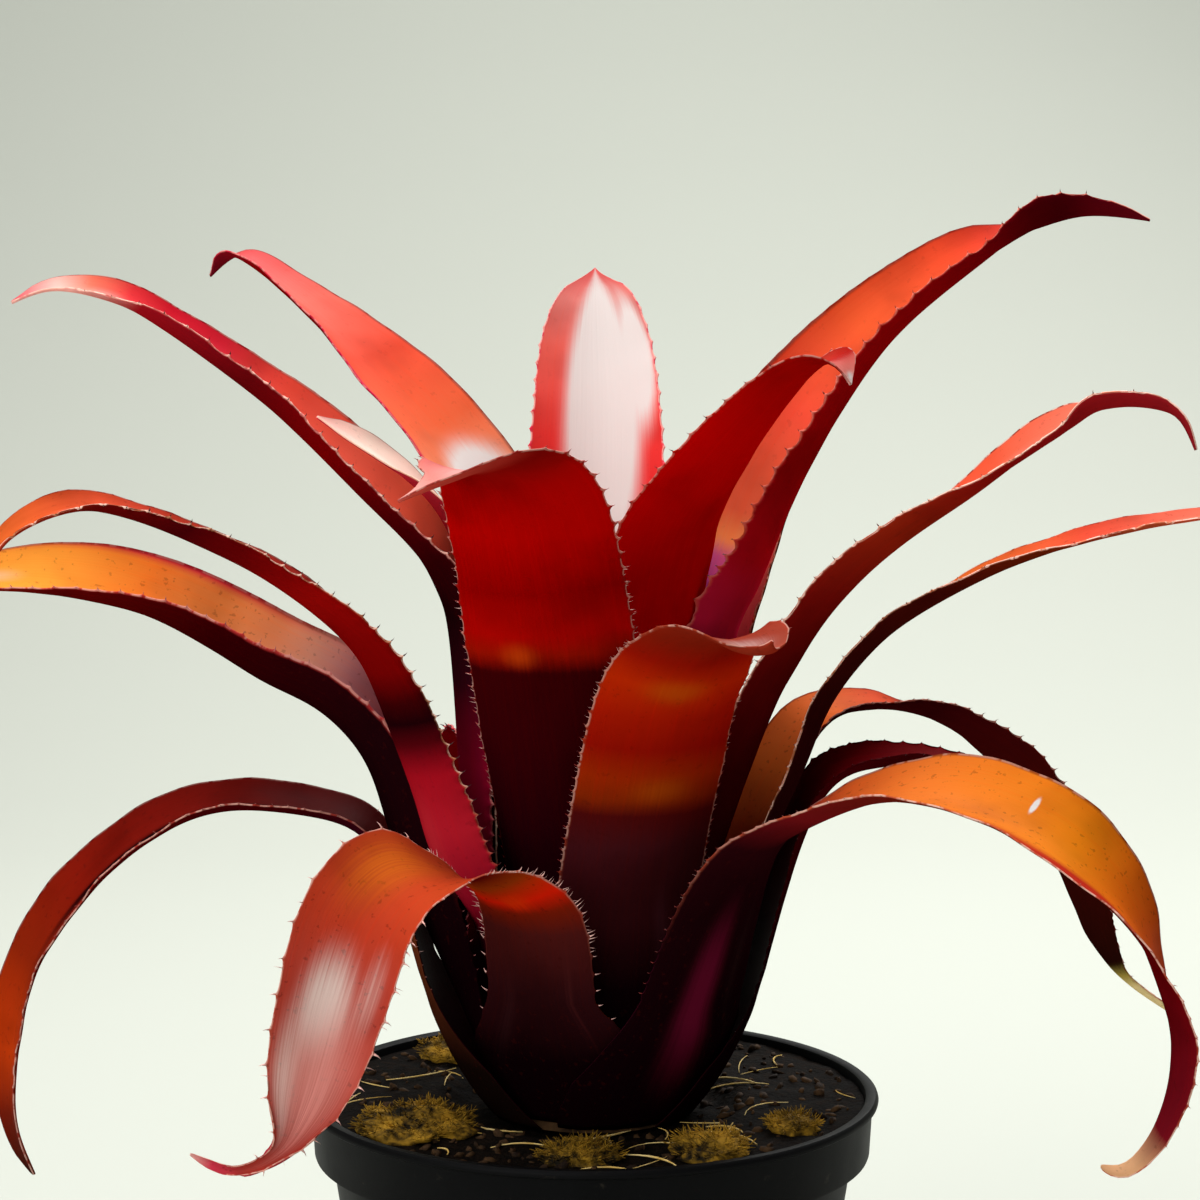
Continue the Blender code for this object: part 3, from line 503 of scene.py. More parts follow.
def leaf_finish(name, look, face, seed):
    """The finish of one face of a leaf: inner, which the sky lights, or outer. Its colour is the
    leaf's own, with painted glow, glare, glints and shade laid over it.
    """
    finish = Finish(f"{name}_{face}")
    across, along = finish.blade()
    edge = abs(across * 2 - 1)
    veins = finish.noise(finish.vector(across * 60, along * 4, seed), 1, 3)
    fine = finish.noise(finish.vector(across * 220, along * 9, seed), 1, 2)
    cloud = finish.noise(finish.place(), 26, 3)
    specks = finish.noise(finish.place(), 420, 2, 0.6)
    # The ramp along the face: partly its own colour, partly the painted glow of light through it and
    # painted shade low down.
    colour = finish.ramp(along + (veins - 0.5) * 0.005 + (cloud - 0.5) * 0.02,
                         look.inner if face == "inner" else look.outer)
    colour = finish.mix((veins - 0.45).clear(0, 0.25) * 0.16, colour, (250, 150, 100), "SOFT_LIGHT")
    colour = finish.mix((0.54 - cloud).clear(0, 0.3) * 0.35, colour, (110, 24, 16), "MULTIPLY")
    colour = finish.mix((specks - 0.62).clear(0, 0.08) * look.speck, colour, (70, 16, 12))
    # Patches of painted glare, glints, shade and glow, with a few real marks, laid over the colour.
    patches = [(*patch, PALE)[:6] for patch in look.sheen] if face == "inner" else look.glow
    for along_at, across_at, length, width, strength, tone in patches:
        far = ((along - along_at) / length) ** 2 + ((across * 2 - 1 - across_at) / width) ** 2
        streak = e ** (0 - far) * ((veins - 0.5) * look.streaks + 1) * strength
        colour = finish.mix(streak.clear(0.1, 0.95), colour, tone)
    # The edge line, with painted shade along the calm edge.
    margin = (edge + (veins - 0.5) * 0.03).clear(0.93, 0.995)
    beyond = ((across * 2 - 1) * look.calm).clear(0.5, 0.6)
    colour = finish.mix(margin * (along - 0.2).clear(0, 0.2) * 0.8, colour,
                        finish.mix(beyond, look.margin, FAR_EDGE_SHADE))
    # Painted glints in pale dashes along the edge, fainter on the calm edge.
    dashes = finish.noise(finish.vector(across * 3, along * 90, seed), 1, 2)
    rim = (edge - 0.955).clear(0, 0.02) * (dashes - 0.4).clear(0, 0.12) * (along - 0.25).clear(0, 0.2)
    colour = finish.mix(rim * (1 - beyond * 0.7) * look.rim, colour, RIM_GLINT)
    relief = finish.bump(veins * 0.7 + fine * 0.3, 0.3 * MM, 0.4)
    finish.surface(Base_Color=colour, Roughness=0.46 + (cloud - 0.5) * 0.2, Normal=relief,
                   Specular_IOR_Level=0.005 if face == "inner" else 0)
    return finish.let_light_through(colour, LIGHT_THROUGH).material


def tooth_finish(name, colour):
    """A plain horny finish for teeth or hairs, cloudy with a darker shade."""
    finish = Finish(name)
    cloud = finish.noise(finish.place(), 300, 2)
    shade = finish.mix((cloud - 0.4).clear(0, 0.3), colour, tuple(int(c * 0.7) for c in colour))
    return finish.surface(Base_Color=shade, Roughness=0.4).material


def finish_mesh(name, bm, materials=()):
    """The mesh that a bmesh describes."""
    mesh = bpy.data.meshes.new(name)
    bm.to_mesh(mesh)
    bm.free()
    for made in materials:
        mesh.materials.append(made)
    return mesh


def put_in_scene(name, data):
    """A new object with this data, in the scene."""
    made = bpy.data.objects.new(name, data)
    bpy.context.scene.collection.objects.link(made)
    return made


def add_piece(name, bm, materials, slot, *nodes):
    """Makes the mesh a piece of the part that rides on its body and stands for CAD nodes."""
    piece = put_in_scene(name, finish_mesh(name, bm, materials))
    piece.data.shade_smooth()
    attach(piece, "root")
    if nodes:
        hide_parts(*nodes)
    return piece


def funnel_radius(level, depth):
    """Radius of the nested sheaths at a level in millimetres; depth 0 is outermost, 1 innermost."""
    outer = np.interp(level, FUNNEL_LEVELS, OUTER_FUNNEL)
    inner = np.interp(level, FUNNEL_LEVELS, INNER_FUNNEL)
    return float(outer + (inner - outer) * depth)


def seat_level(depth):
    """The level where a sheath of this depth (0 to 1) stands on the stem's cone, in millimetres."""
    slope = (STEM_FOOT_RADIUS - STEM_CROWN_RADIUS) / STEM_RISE
    level = 0.0
    for _ in range(SEAT_ROUNDS):
        inside = funnel_radius(level, depth) * MM - LEAF_THICKNESS / 2
        level = max(0.0, (STEM_FOOT_RADIUS - inside) / slope / MM)
    return level + 2 * GAP / MM


def leaf_knots(leaf):
    """The leaf's knots as (position, half width, cup angle, roll), from its seat to its tip."""
    outward = Vector((cos(radians(leaf.azimuth)), sin(radians(leaf.azimuth)), 0))
    aside = Vector((-outward.y, outward.x, 0))
    depth = leaf.layer / (LAYERS - 1)
    seat = seat_level(depth)
    top = FUNNEL_LEVELS[leaf.free]
    knots = []
    for level in (seat, *(low for low in FUNNEL_LEVELS[:leaf.free + 1] if low > seat + SEAT_SPACING)):
        reach = funnel_radius(level, depth) * MM
        narrowing = max(0.0, (level - NARROWING_LEVEL) / (top - NARROWING_LEVEL))
        widest = SHEATH_HALF_WIDTH + (leaf.width * MM - SHEATH_HALF_WIDTH) * narrowing
        half_width = min(widest, SHEATH_WRAP * reach)
        position = outward * reach + Vector((0, 0, STEM_FOOT + level * MM))
        knots.append((position, half_width, half_width / reach, 0.0))
    sheath = len(knots)
    narrow = leaf.blunt * MM or TAIL_HALF_WIDTH
    tip = leaf.blunt * MM or TIP_HALF_WIDTH
    for index, knot in enumerate(leaf.route):
        reach, height, roll, drift = (*knot, 0, 0)[:4]
        position = (outward * reach + aside * drift + Vector((0, 0, height))) * MM
        share = (index + 1) / len(leaf.route)
        body = min(share / leaf.tail, 1.0)
        end = narrow + (tip - narrow) * max(share - leaf.tail, 0) / (1 - leaf.tail)
        half_width = end + (leaf.width * MM - end) * (1 - body ** leaf.taper)
        cup = leaf.cup + (TIP_CUP - leaf.cup) * share ** CUP_POWER
        knots.append((position, half_width, radians(cup), radians(roll)))
    return knots, sheath


def curve_through(a, b, c, d, share):
    """A Catmull-Rom step between b and c."""
    return 0.5 * (2 * b + (c - a) * share + (2 * a - 5 * b + 4 * c - d) * share ** 2
                  + (3 * b - a - 3 * c + d) * share ** 3)


def leaf_samples(leaf):
    """Close samples along the leaf, each (position, half width, cup, side, normal).

    The sheath's sections are level, so that layers nest; the blade's turn square to its route.
    """
    knots, sheath = leaf_knots(leaf)
    samples = []
    for index in range(len(knots) - 1):
        four = [knots[min(max(index + shift, 0), len(knots) - 1)] for shift in (-1, 0, 1, 2)]
        for step in range(CURVE_STEPS):
            share = step / CURVE_STEPS
            samples.append([curve_through(four[0][0], four[1][0], four[2][0], four[3][0], share)]
                           + [four[1][k] + (four[2][k] - four[1][k]) * share for k in (1, 2, 3)])
    samples.append(list(knots[-1]))
    release = (sheath - 1) * CURVE_STEPS
    side = Vector((-sin(radians(leaf.azimuth)), cos(radians(leaf.azimuth)), 0))
    level_normal = UP.cross(side)
    heading = (samples[1][0] - samples[0][0]).normalized()
    frames = []
    for index, (position, half_width, cup, roll) in enumerate(samples):
        ahead = samples[min(index + 1, len(samples) - 1)][0] - samples[max(index - 1, 0)][0]
        side = heading.rotation_difference(ahead.normalized()) @ side
        heading = ahead.normalized()
        freed = min(max((index - release) / (FREEING_KNOTS * CURVE_STEPS), 0.0), 1.0)
        rolled = Quaternion(heading, -roll) @ side
        normal = level_normal.lerp(heading.cross(rolled), freed)
        normal = (normal - rolled * normal.dot(rolled)).normalized()
        frames.append((position, half_width, cup, rolled, normal))
    return frames, release


class Blade:
    """A leaf's smooth course, read at any length from its seat."""

    def __init__(self, leaf):
        samples, release = leaf_samples(leaf)
        self.rows = np.array([(*p, w, c, *s, *n) for p, w, c, s, n in samples])
        free = self.rows[release:]
        for _ in range(SMOOTH_ROUNDS):
            free[1:-1] = free[1:-1] * 0.5 + (free[:-2] + free[2:]) * 0.25
        steps = np.linalg.norm(np.diff(self.rows[:, :3], axis=0), axis=1)
        self.lengths = np.concatenate([[0], np.cumsum(steps)])
        self.length = self.lengths[-1]
        self.release = self.lengths[release]

    def at(self, length):
        row = [np.interp(length, self.lengths, column) for column in self.rows.T]
        position, side, normal = Vector(row[0:3]), Vector(row[5:8]).normalized(), Vector(row[8:11])
        normal = (normal - side * normal.dot(side)).normalized()
        left = max(self.length - length, 0.0) / TIP_ROUNDING
        half_width = row[3] * min(1.0, left ** TIP_POWER + POINT_HALF_WIDTH / row[3])
        return position, half_width, row[4], side, normal


def leaf_stations(blade, spacing, arc):
    """Where the leaf's cross-sections stand, as (length, rise), with rise 1 at each tooth."""
    start, stop = TEETH_START * blade.length, TEETH_END * blade.length
    plain = max(2, round(start / SHEATH_STEP))
    stations = [(start * i / plain, 0.0) for i in range(plain)]
    teeth = [start]
    while teeth[-1] < stop:
        spread = np.interp(teeth[-1] / blade.length, (TEETH_START, TEETH_END), TEETH_SPREAD)
        teeth.append(teeth[-1] + spacing * MM * spread)
    scale = (stop - start) / (teeth[-1] - start)
    teeth = [start + (tooth - start) * scale for tooth in teeth]
    for here, after in zip(teeth, teeth[1:]):
        for share in ARC_STEPS:
            stations.append((here + (after - here) * share, abs(2 * share - 1) ** arc))
    stations.append((stop, 1.0))
    stations += [(stop + (blade.length - stop) * share, 1.0) for share in TIP_STEPS]
    return stations


def surface_point(section, across, rise):
    """A point of the inner face and the way out there, for across from -1 to 1."""
    position, half_width, cup, side, normal = section
    radius = half_width / cup
    angle = across * cup + np.sign(across) * abs(across) ** ARC_POWER * rise / radius
    outwards = side * sin(angle) - normal * cos(angle)
    return position + normal * radius + outwards * (radius - LEAF_THICKNESS / 2), outwards


def tooth_template():
    """A small hooked tooth, one unit long along Z, leaning to +X."""
    bm = bmesh.new()
    bmesh.ops.create_cone(bm, cap_ends=True, segments=4, radius1=0.16, radius2=0.08, depth=0.5)
    bmesh.ops.translate(bm, verts=bm.verts, vec=(0, 0, 0.25))
    top = [v for v in bm.verts if v.co.z > 0.4]
    bmesh.ops.translate(bm, verts=top, vec=(0.06, 0, 0))
    crown = [f for f in bm.faces if all(v in top for v in f.verts)]
    raised = bmesh.ops.extrude_face_region(bm, geom=crown)["geom"]
    bmesh.ops.delete(bm, geom=crown, context="FACES_ONLY")
    bmesh.ops.pointmerge(bm, verts=[g for g in raised if isinstance(g, bmesh.types.BMVert)],
                         merge_co=(0.3, 0, 1))
    bmesh.ops.recalc_face_normals(bm, faces=bm.faces)
    return finish_mesh("tooth", bm)


def add_copy(bm, template, matrix, slot=0):
    """Adds a copy of a small mesh, turned and placed, with its faces in one material slot."""
    first, first_face = len(bm.verts), len(bm.faces)
    bm.from_mesh(template)
    bm.verts.ensure_lookup_table()
    bm.faces.ensure_lookup_table()
    bmesh.ops.transform(bm, matrix=matrix, verts=bm.verts[first:])
    for face in bm.faces[first_face:]:
        face.material_index = slot


class Edges:
    """The two edges of a leaf, where teeth and hairs stand."""

    def __init__(self, bm, blade, dice):
        self.bm = bm
        self.blade = blade
        self.dice = dice
        self.template = tooth_template()

    def stand(self, length, edge, rise, size, slot, thickness=1.0, wild=0.3):
        """Stands a tooth on an edge, -1 or 1, at a length from the seat."""
        section = self.blade.at(length)
        heading = (self.blade.at(length + MM)[0] - section[0]).normalized()
        point, outwards = surface_point(section, edge, rise)
        away = outwards.cross(heading)
        away = away if away.dot(section[3]) * edge > 0 else -away
        lean = (away + outwards * self.dice.uniform(-wild, wild)).normalized()
        along = (heading - lean * heading.dot(lean)).normalized() * self.dice.uniform(0.7, 1.2)
        width = size * thickness
        matrix = Matrix((along * width, lean.cross(along) * width, lean * size)).transposed().to_4x4()
        matrix.translation = point + outwards * EDGE_THICKNESS / 2 - lean * 0.2 * MM
        add_copy(self.bm, self.template, matrix, slot)


def lay_blade(blade, stations, look, ripple, phase):
    """A leaf's inner face, with ripples along its edges and a groove along its middle.

    With it comes each vertex's place: across, -1 to 1, and along, as a share of the length.
    """
    sections = [blade.at(length) for length, _ in stations]
    bm = bmesh.new()
    uv = bm.loops.layers.uv.new("blade")
    bmesh.ops.create_grid(bm, x_segments=STRIPS, y_segments=len(stations) - 1, size=1)
    places = {}
    for vert in bm.verts:
        row = round((vert.co.y + 1) / 2 * (len(stations) - 1))
        across = sin(pi / 2 * vert.co.x)
        length, rise = stations[row]
        freed = min(max((length - blade.release) / (RIPPLE_START * blade.length), 0.0), 1.0)
        calm = min((blade.length - length) / (RIPPLE_END * blade.length), 1.0)
        bite = look.teeth[2] * MM * calm * (CALM_SHARE if across * look.calm > 0 else 1)
        point, outwards = surface_point(sections[row], across, (rise - 1) * bite)
        wave = sin(tau * length / RIPPLE_LENGTH + phase[across > 0])
        wave += 0.5 * sin(tau * length / FINE_RIPPLE_LENGTH + 2 * phase[across < 0])
        lift = ripple * wave * freed * calm * abs(across) ** 3
        groove = GROOVE_DEPTH * freed * calm * np.exp(-(across / GROOVE_HALF_WIDTH) ** 2)
        vert.co = point - outwards * (lift - groove)
        places[vert] = (across, length / blade.length)
    for face in bm.faces:
        for loop in face.loops:
            across, along = places[loop.vert]
            loop[uv].uv = (across / 2 + 0.5, along)
    faces = list(bm.faces)
    bm.normal_update()
    if faces[STRIPS // 2].normal.dot(sections[0][4]) < 0:
        bmesh.ops.reverse_faces(bm, faces=faces)
        bm.normal_update()
    return bm, places


def thicken(bm, places):
    """Grows a leaf's outer face from its inner one, closer to it at the edges."""
    backs = {}
    for vert in bm.verts:
        across, _ = places[vert]
        thickness = EDGE_THICKNESS + (LEAF_THICKNESS - EDGE_THICKNESS) * (1 - abs(across) ** THINNING_POWER)
        backs[tuple(vert.co)] = (vert.normal.copy(), thickness)
    grown = bmesh.ops.extrude_face_region(bm, geom=list(bm.faces), use_keep_orig=True)["geom"]
    for item in grown:
        if isinstance(item, bmesh.types.BMVert):
            normal, thickness = backs[tuple(item.co)]
            item.co -= normal * thickness
        elif isinstance(item, bmesh.types.BMFace):
            item.material_index = OUTER
    bmesh.ops.recalc_face_normals(bm, faces=bm.faces)


def line_edges(bm, blade, stations, look, scale, dice):
    """Stands the teeth along a leaf's edges, and hairs where it has them."""
    _, tooth_length, depth, _ = look.teeth
    edges = Edges(bm, blade, dice)
    for length, rise in stations:
        if rise == 1 and length < TEETH_END * blade.length:
            for edge in (-1, 1):
                size = tooth_length * MM * scale * dice.uniform(0.75, 1.2)
                size *= CALM_SHARE if edge * look.calm > 0 else 1
                edges.stand(length, edge, 0.0, size, TEETH)
    for first, last, pitch, reach in look.hairs:
        for edge in (-1, 1):
            length = first * blade.length
            while length < last * blade.length:
                size = reach * MM * dice.uniform(0.5, 1.1)
                edges.stand(length, edge, -depth * MM, size, HAIRS, 0.45, 0.8)
                length += pitch * MM * dice.uniform(0.6, 1.4)
    bpy.data.meshes.remove(edges.template)


def grow_leaf(short_name, settings):
    """One leaf: a rippled blade with a thickness, and arcs between the teeth along its edges."""
    name = f"leaf_{short_name}"
    look = LOOKS.get(short_name, HIDDEN_LOOK)
    spacing, _, _, tooth_colour = look.teeth
    dice = Random(name)
    blade = Blade(LEAVES[short_name])
    stations = leaf_stations(blade, spacing, look.arc)
    phase = (dice.uniform(0, tau), dice.uniform(0, tau))
    bm, places = lay_blade(blade, stations, look, settings.ripple, phase)
    thicken(bm, places)
    line_edges(bm, blade, stations, look, settings.tooth_scale, dice)
    seed = dice.uniform(0, 100)
    finishes = [leaf_finish(name, look, face, seed) for face in ("inner", "outer")]
    finishes += [tooth_finish(f"{name}_teeth", tooth_colour), tooth_finish(f"{name}_hairs", BLUSH)]
    add_piece(f"{name}_blade", bm, finishes, "leaf", name)


# Litter on the soil
LITTER_SEED = 7
CHIP_COUNT = 420
CHIPS_FROM = 36 * MM              # radius outside which they lie
STRAW_COUNT = 46
STRAWS_FROM = 46 * MM
BED_RINGS = 46
BED_SEGMENTS = 128
BED_ROUGHNESS = 1.6 * MM
MOSS = {                          # centre x and y, radius and height, millimetres
    "moss_left": (-58, -38, 20, 8), "moss_front": (-4, -73, 13, 6), "moss_right": (39, -66, 13, 7),
    "moss_side": (67, -38, 9, 5), "moss_back": (-50, 56, 12, 6),
}
STRANDS_PER_RADIUS = 34           # for each millimetre of a clump's radius


def spin_round(profile, segments):
    """A mesh turned from (radius, height) points on the Z axis."""
    bm = bmesh.new()
    verts = [bm.verts.new((radius, 0.0, height)) for radius, height in profile]
    edges = [bm.edges.new(pair) for pair in zip(verts, verts[1:])]
    bmesh.ops.spin(bm, geom=verts + edges, cent=(0, 0, 0), axis=(0, 0, 1), angle=tau,
                   steps=segments, use_merge=True)
    bmesh.ops.remove_doubles(bm, verts=bm.verts, dist=1e-6)
    bmesh.ops.recalc_face_normals(bm, faces=bm.faces)
    return bm


def bake_modifiers(piece):
    """Keeps what the modifiers make, so that no modifier or cutter stays behind."""
    shown = piece.evaluated_get(bpy.context.evaluated_depsgraph_get())
    made = bpy.data.meshes.new_from_object(shown)
    piece.modifiers.clear()
    piece.data = made


def plastic_finish(colour):
    """Satin moulded plastic, with smudges and a little dust."""
    finish = Finish("pot_plastic")
    place = finish.place()
    grain = finish.noise(place, 900, 2)
    smudge = finish.noise(place, 30, 4, 0.6)
    dust = finish.noise(place, 160, 4, 0.7)
    tone = finish.mix((smudge - 0.4).clear(0, 0.4) * 0.5, colour, (13, 13, 15))
    tone = finish.mix((dust - 0.62).clear(0, 0.12) * 0.3, tone, (62, 56, 48))
    relief = finish.bump(grain, 0.06 * MM, 0.35)
    finish.surface(Base_Color=tone, Roughness=0.42 + smudge * 0.25, Normal=relief,
                   Specular_IOR_Level=0.06)
    return finish.material


def soil_finish(name, colour, light):
    """Damp soil in lumps and crumbs."""
    finish = Finish(name)
    place = finish.place()
    crumbs = finish.cells(place, 700)
    lumps = finish.noise(place, 260, 5, 0.7)
    tone = finish.mix((lumps - 0.42).clear(0, 0.25), colour, light)
    tone = finish.mix((crumbs - 0.5).clear(0, 0.4) * 0.4, tone, (7, 5, 4))
    relief = finish.bump(lumps + crumbs * 0.4, 0.9 * MM, 0.9)
    finish.surface(Base_Color=tone, Roughness=0.75 + lumps * 0.25, Normal=relief, Specular_IOR_Level=0.04)
    return finish.material


def fibre_finish(name, colour, light, stretch):
    """Dry fibres: bark, straw or moss strands, each a little different from the next."""
    finish = Finish(name)
    place = finish.place()
    tuft = finish.noise(place, 90, 2)
    grain = finish.noise(place, stretch, 3, 0.6)
    tone = finish.mix((tuft * 0.6 + grain * 0.4 - 0.36).clear(0, 0.3), colour, light)
    relief = finish.bump(grain, 0.15 * MM, 0.6)
    return finish.surface(Base_Color=tone, Roughness=0.8, Normal=relief, Specular_IOR_Level=0.1).material


def turn_pot(settings):
    """The pot, with a rolled lip, a rim band and drain holes."""
    band_foot = POT_HEIGHT - RIM_BAND
    lip_foot = POT_HEIGHT - LIP_HEIGHT
    inside = RIM_RADIUS - POT_WALL
    profile = [
        (0, 1.2 * MM), (DRAIN_CIRCLE + 14 * MM, 1.2 * MM), (DRAIN_CIRCLE + 15 * MM, 0),
        (POT_BASE_RADIUS - 2 * MM, 0), (POT_BASE_RADIUS - 0.6 * MM, 0.5 * MM), (POT_BASE_RADIUS, 2 * MM),
        (POT_BODY_RADIUS, band_foot - 1 * MM), (POT_BODY_RADIUS + 0.5 * MM, band_foot),
        (RIM_RADIUS - 1.2 * MM, band_foot), (RIM_RADIUS - 0.3 * MM, band_foot + 0.4 * MM),
        (RIM_RADIUS, band_foot + 1.2 * MM), (RIM_RADIUS + 0.9 * MM, lip_foot - 0.8 * MM),
        (RIM_RADIUS + 1.2 * MM, lip_foot - 0.2 * MM), (LIP_RADIUS - 0.9 * MM, lip_foot + 0.1 * MM),
        (LIP_RADIUS - 0.2 * MM, lip_foot + 0.6 * MM), (LIP_RADIUS, lip_foot + 1.4 * MM),
        (LIP_RADIUS - 0.3 * MM, POT_HEIGHT - 0.6 * MM), (LIP_RADIUS - 1.0 * MM, POT_HEIGHT),
        (inside + 1.2 * MM, POT_HEIGHT), (inside + 0.3 * MM, POT_HEIGHT - 0.5 * MM),
        (inside, POT_HEIGHT - 1.4 * MM), (inside, band_foot + 3 * POT_WALL),
        (POT_BODY_RADIUS - POT_WALL, band_foot + POT_WALL), (POT_BASE_RADIUS - POT_WALL, POT_FLOOR),
        (0, POT_FLOOR),
    ]
    bm = spin_round(profile, settings.segments)
    pot = add_piece("pot_shell", bm, [plastic_finish(settings.colour)], "pot", "pot")
    pot.data.set_sharp_from_angle(angle=radians(40))
    cutters = []
    for index in range(DRAIN_COUNT):
        angle = tau * (index + 0.5) / DRAIN_COUNT
        drill = bmesh.new()
        bmesh.ops.create_cone(drill, cap_ends=True, segments=24, radius1=DRAIN_RADIUS,
                              radius2=DRAIN_RADIUS, depth=6 * POT_FLOOR)
        bmesh.ops.translate(drill, verts=drill.verts,
                            vec=(DRAIN_CIRCLE * cos(angle), DRAIN_CIRCLE * sin(angle), 0))
        cutter = put_in_scene("drill", finish_mesh("drill", drill))
        cut = pot.modifiers.new("drain", "BOOLEAN")
        cut.operation = "DIFFERENCE"
        cut.solver = "EXACT"
        cut.object = cutter
        cutters.append(cutter)
    bake_modifiers(pot)
    for cutter in cutters:
        bpy.data.objects.remove(cutter, do_unlink=True)


def bed_height(x, y):
    """The bumpy top of the soil."""
    radius = min(np.hypot(x, y), RIM_RADIUS - POT_WALL)
    smooth = np.interp(radius, (SOIL_DIP_RADIUS, SOIL_DIP_EDGE), (SOIL_TOP, SOIL_EDGE))
    spot = Vector((x, y, 0))
    lumps = noise.noise(spot * 90) * 0.6 + noise.noise(spot * 260) * 0.4
    return float(smooth + BED_ROUGHNESS * lumps)


def fill_soil(settings):
    """The bed of soil: a closed solid in the pot, with a crumbly top."""
    band_foot = POT_HEIGHT - RIM_BAND
    edge = RIM_RADIUS - POT_WALL - GAP
    foot = POT_BASE_RADIUS - POT_WALL
    profile = [(0, SOIL_TOP - ROOT_DEPTH - GAP), (ROOT_FOOT_RADIUS + GAP, SOIL_TOP - ROOT_DEPTH - GAP)]
    start = ROOT_RADIUS + GAP
    profile += [(start + (edge - start) * i / BED_RINGS, SOIL_EDGE) for i in range(BED_RINGS + 1)]
    body = POT_BODY_RADIUS - POT_WALL - GAP - 0.2 * MM
    profile += [(edge, band_foot + 2 * POT_WALL), (body, band_foot + POT_WALL),
                (foot - GAP, POT_FLOOR + GAP), (0, POT_FLOOR + GAP)]
    bm = spin_round(profile, BED_SEGMENTS)
    for vert in bm.verts:
        if vert.co.z > SOIL_EDGE - MM:
            vert.co.z = bed_height(vert.co.x, vert.co.y)
    finish = soil_finish("potting_mix", settings.soil, settings.crumb)
    add_piece("soil_bed", bm, [finish], "soil", "soil")


def spot_on_bed(dice, inner, outer):
    """A random place on the soil between two radii."""
    radius = dice.uniform(inner ** 2, outer ** 2) ** 0.5
    angle = dice.uniform(0, tau)
    x, y = radius * cos(angle), radius * sin(angle)
    return Vector((x, y, bed_height(x, y)))


def scatter_chips(settings):
    """Bark chips and crumbs that lie on the soil."""
    dice = Random(LITTER_SEED)
    lump = bmesh.new()
    bmesh.ops.create_icosphere(lump, subdivisions=1, radius=1)
    template = finish_mesh("lump", lump)
    bm = bmesh.new()
    for _ in range(CHIP_COUNT):
        size = dice.uniform(0.9, 3.2) * MM
        spot = spot_on_bed(dice, CHIPS_FROM, RIM_RADIUS - POT_WALL - 4 * MM)
        turn = Quaternion(Vector((dice.gauss(0, 1), dice.gauss(0, 1), dice.gauss(0, 1))).normalized(),
                          dice.uniform(0, tau))
        shape = Matrix.Diagonal((size, size * dice.uniform(0.4, 0.9), size * dice.uniform(0.25, 0.6), 1))
        first = len(bm.verts)
        add_copy(bm, template, Matrix.Translation(spot) @ turn.to_matrix().to_4x4() @ shape)
        for vert in bm.verts[first:]:
            vert.co += (vert.co - spot) * 0.35 * noise.noise(vert.co * 900)
    bpy.data.meshes.remove(template)
    finish = fibre_finish("bark", settings.bark, settings.bark_light, 500)
    add_piece("bark_chips", bm, [finish], "soil")


def draw_fibre(bm, points, radius, sides=4):
    """A thin closed tube along points, narrowing to both ends."""
    rings = []
    for index, point in enumerate(points):
        ahead = points[min(index + 1, len(points) - 1)] - points[max(index - 1, 0)]
        turn = UP.rotation_difference(ahead.normalized()).to_matrix().to_4x4()
        share = index / (len(points) - 1)
        thick = radius * (0.35 + 0.65 * sin(pi * min(max(share, 0.08), 0.92)))
        ring = bmesh.ops.create_circle(bm, segments=sides, radius=thick,
                                       matrix=Matrix.Translation(point) @ turn)["verts"]
        rings.append(ring)
    for here, after in zip(rings, rings[1:]):
        edges = [edge for ring in (here, after) for edge in {link for v in ring for link in v.link_edges}
                 if all(v in ring for v in edge.verts)]
        bmesh.ops.bridge_loops(bm, edges=edges)
    for ring in (rings[0], rings[-1]):
        bmesh.ops.contextual_create(bm, geom=ring)


def scatter_straw(settings):
    """Dry straws and roots that lie across the soil."""
    dice = Random(LITTER_SEED + 1)
    bm = bmesh.new()
    for _ in range(STRAW_COUNT):
        spot = spot_on_bed(dice, STRAWS_FROM, RIM_RADIUS - POT_WALL - 7 * MM)
        heading = dice.uniform(0, tau)
        length = dice.uniform(8, 30) * MM
        bend = dice.uniform(-0.9, 0.9)
        lie = spot.z
        points = []
        for step in range(7):
            share = step / 6 - 0.5
            angle = heading + bend * share
            x, y = spot.x + cos(angle) * length * share, spot.y + sin(angle) * length * share
            if np.hypot(x, y) > RIM_RADIUS - POT_WALL - 2 * MM:
                break
            points.append(Vector((x, y, lie + (0.8 + 1.6 * (0.25 - share ** 2)) * MM)))
        if len(points) > 3:
            draw_fibre(bm, points, dice.uniform(0.18, 0.4) * MM)
    bmesh.ops.recalc_face_normals(bm, faces=bm.faces)
    add_piece("dry_straw", bm, [fibre_finish("straw", settings.straw, (238, 214, 150), 300)], "soil")


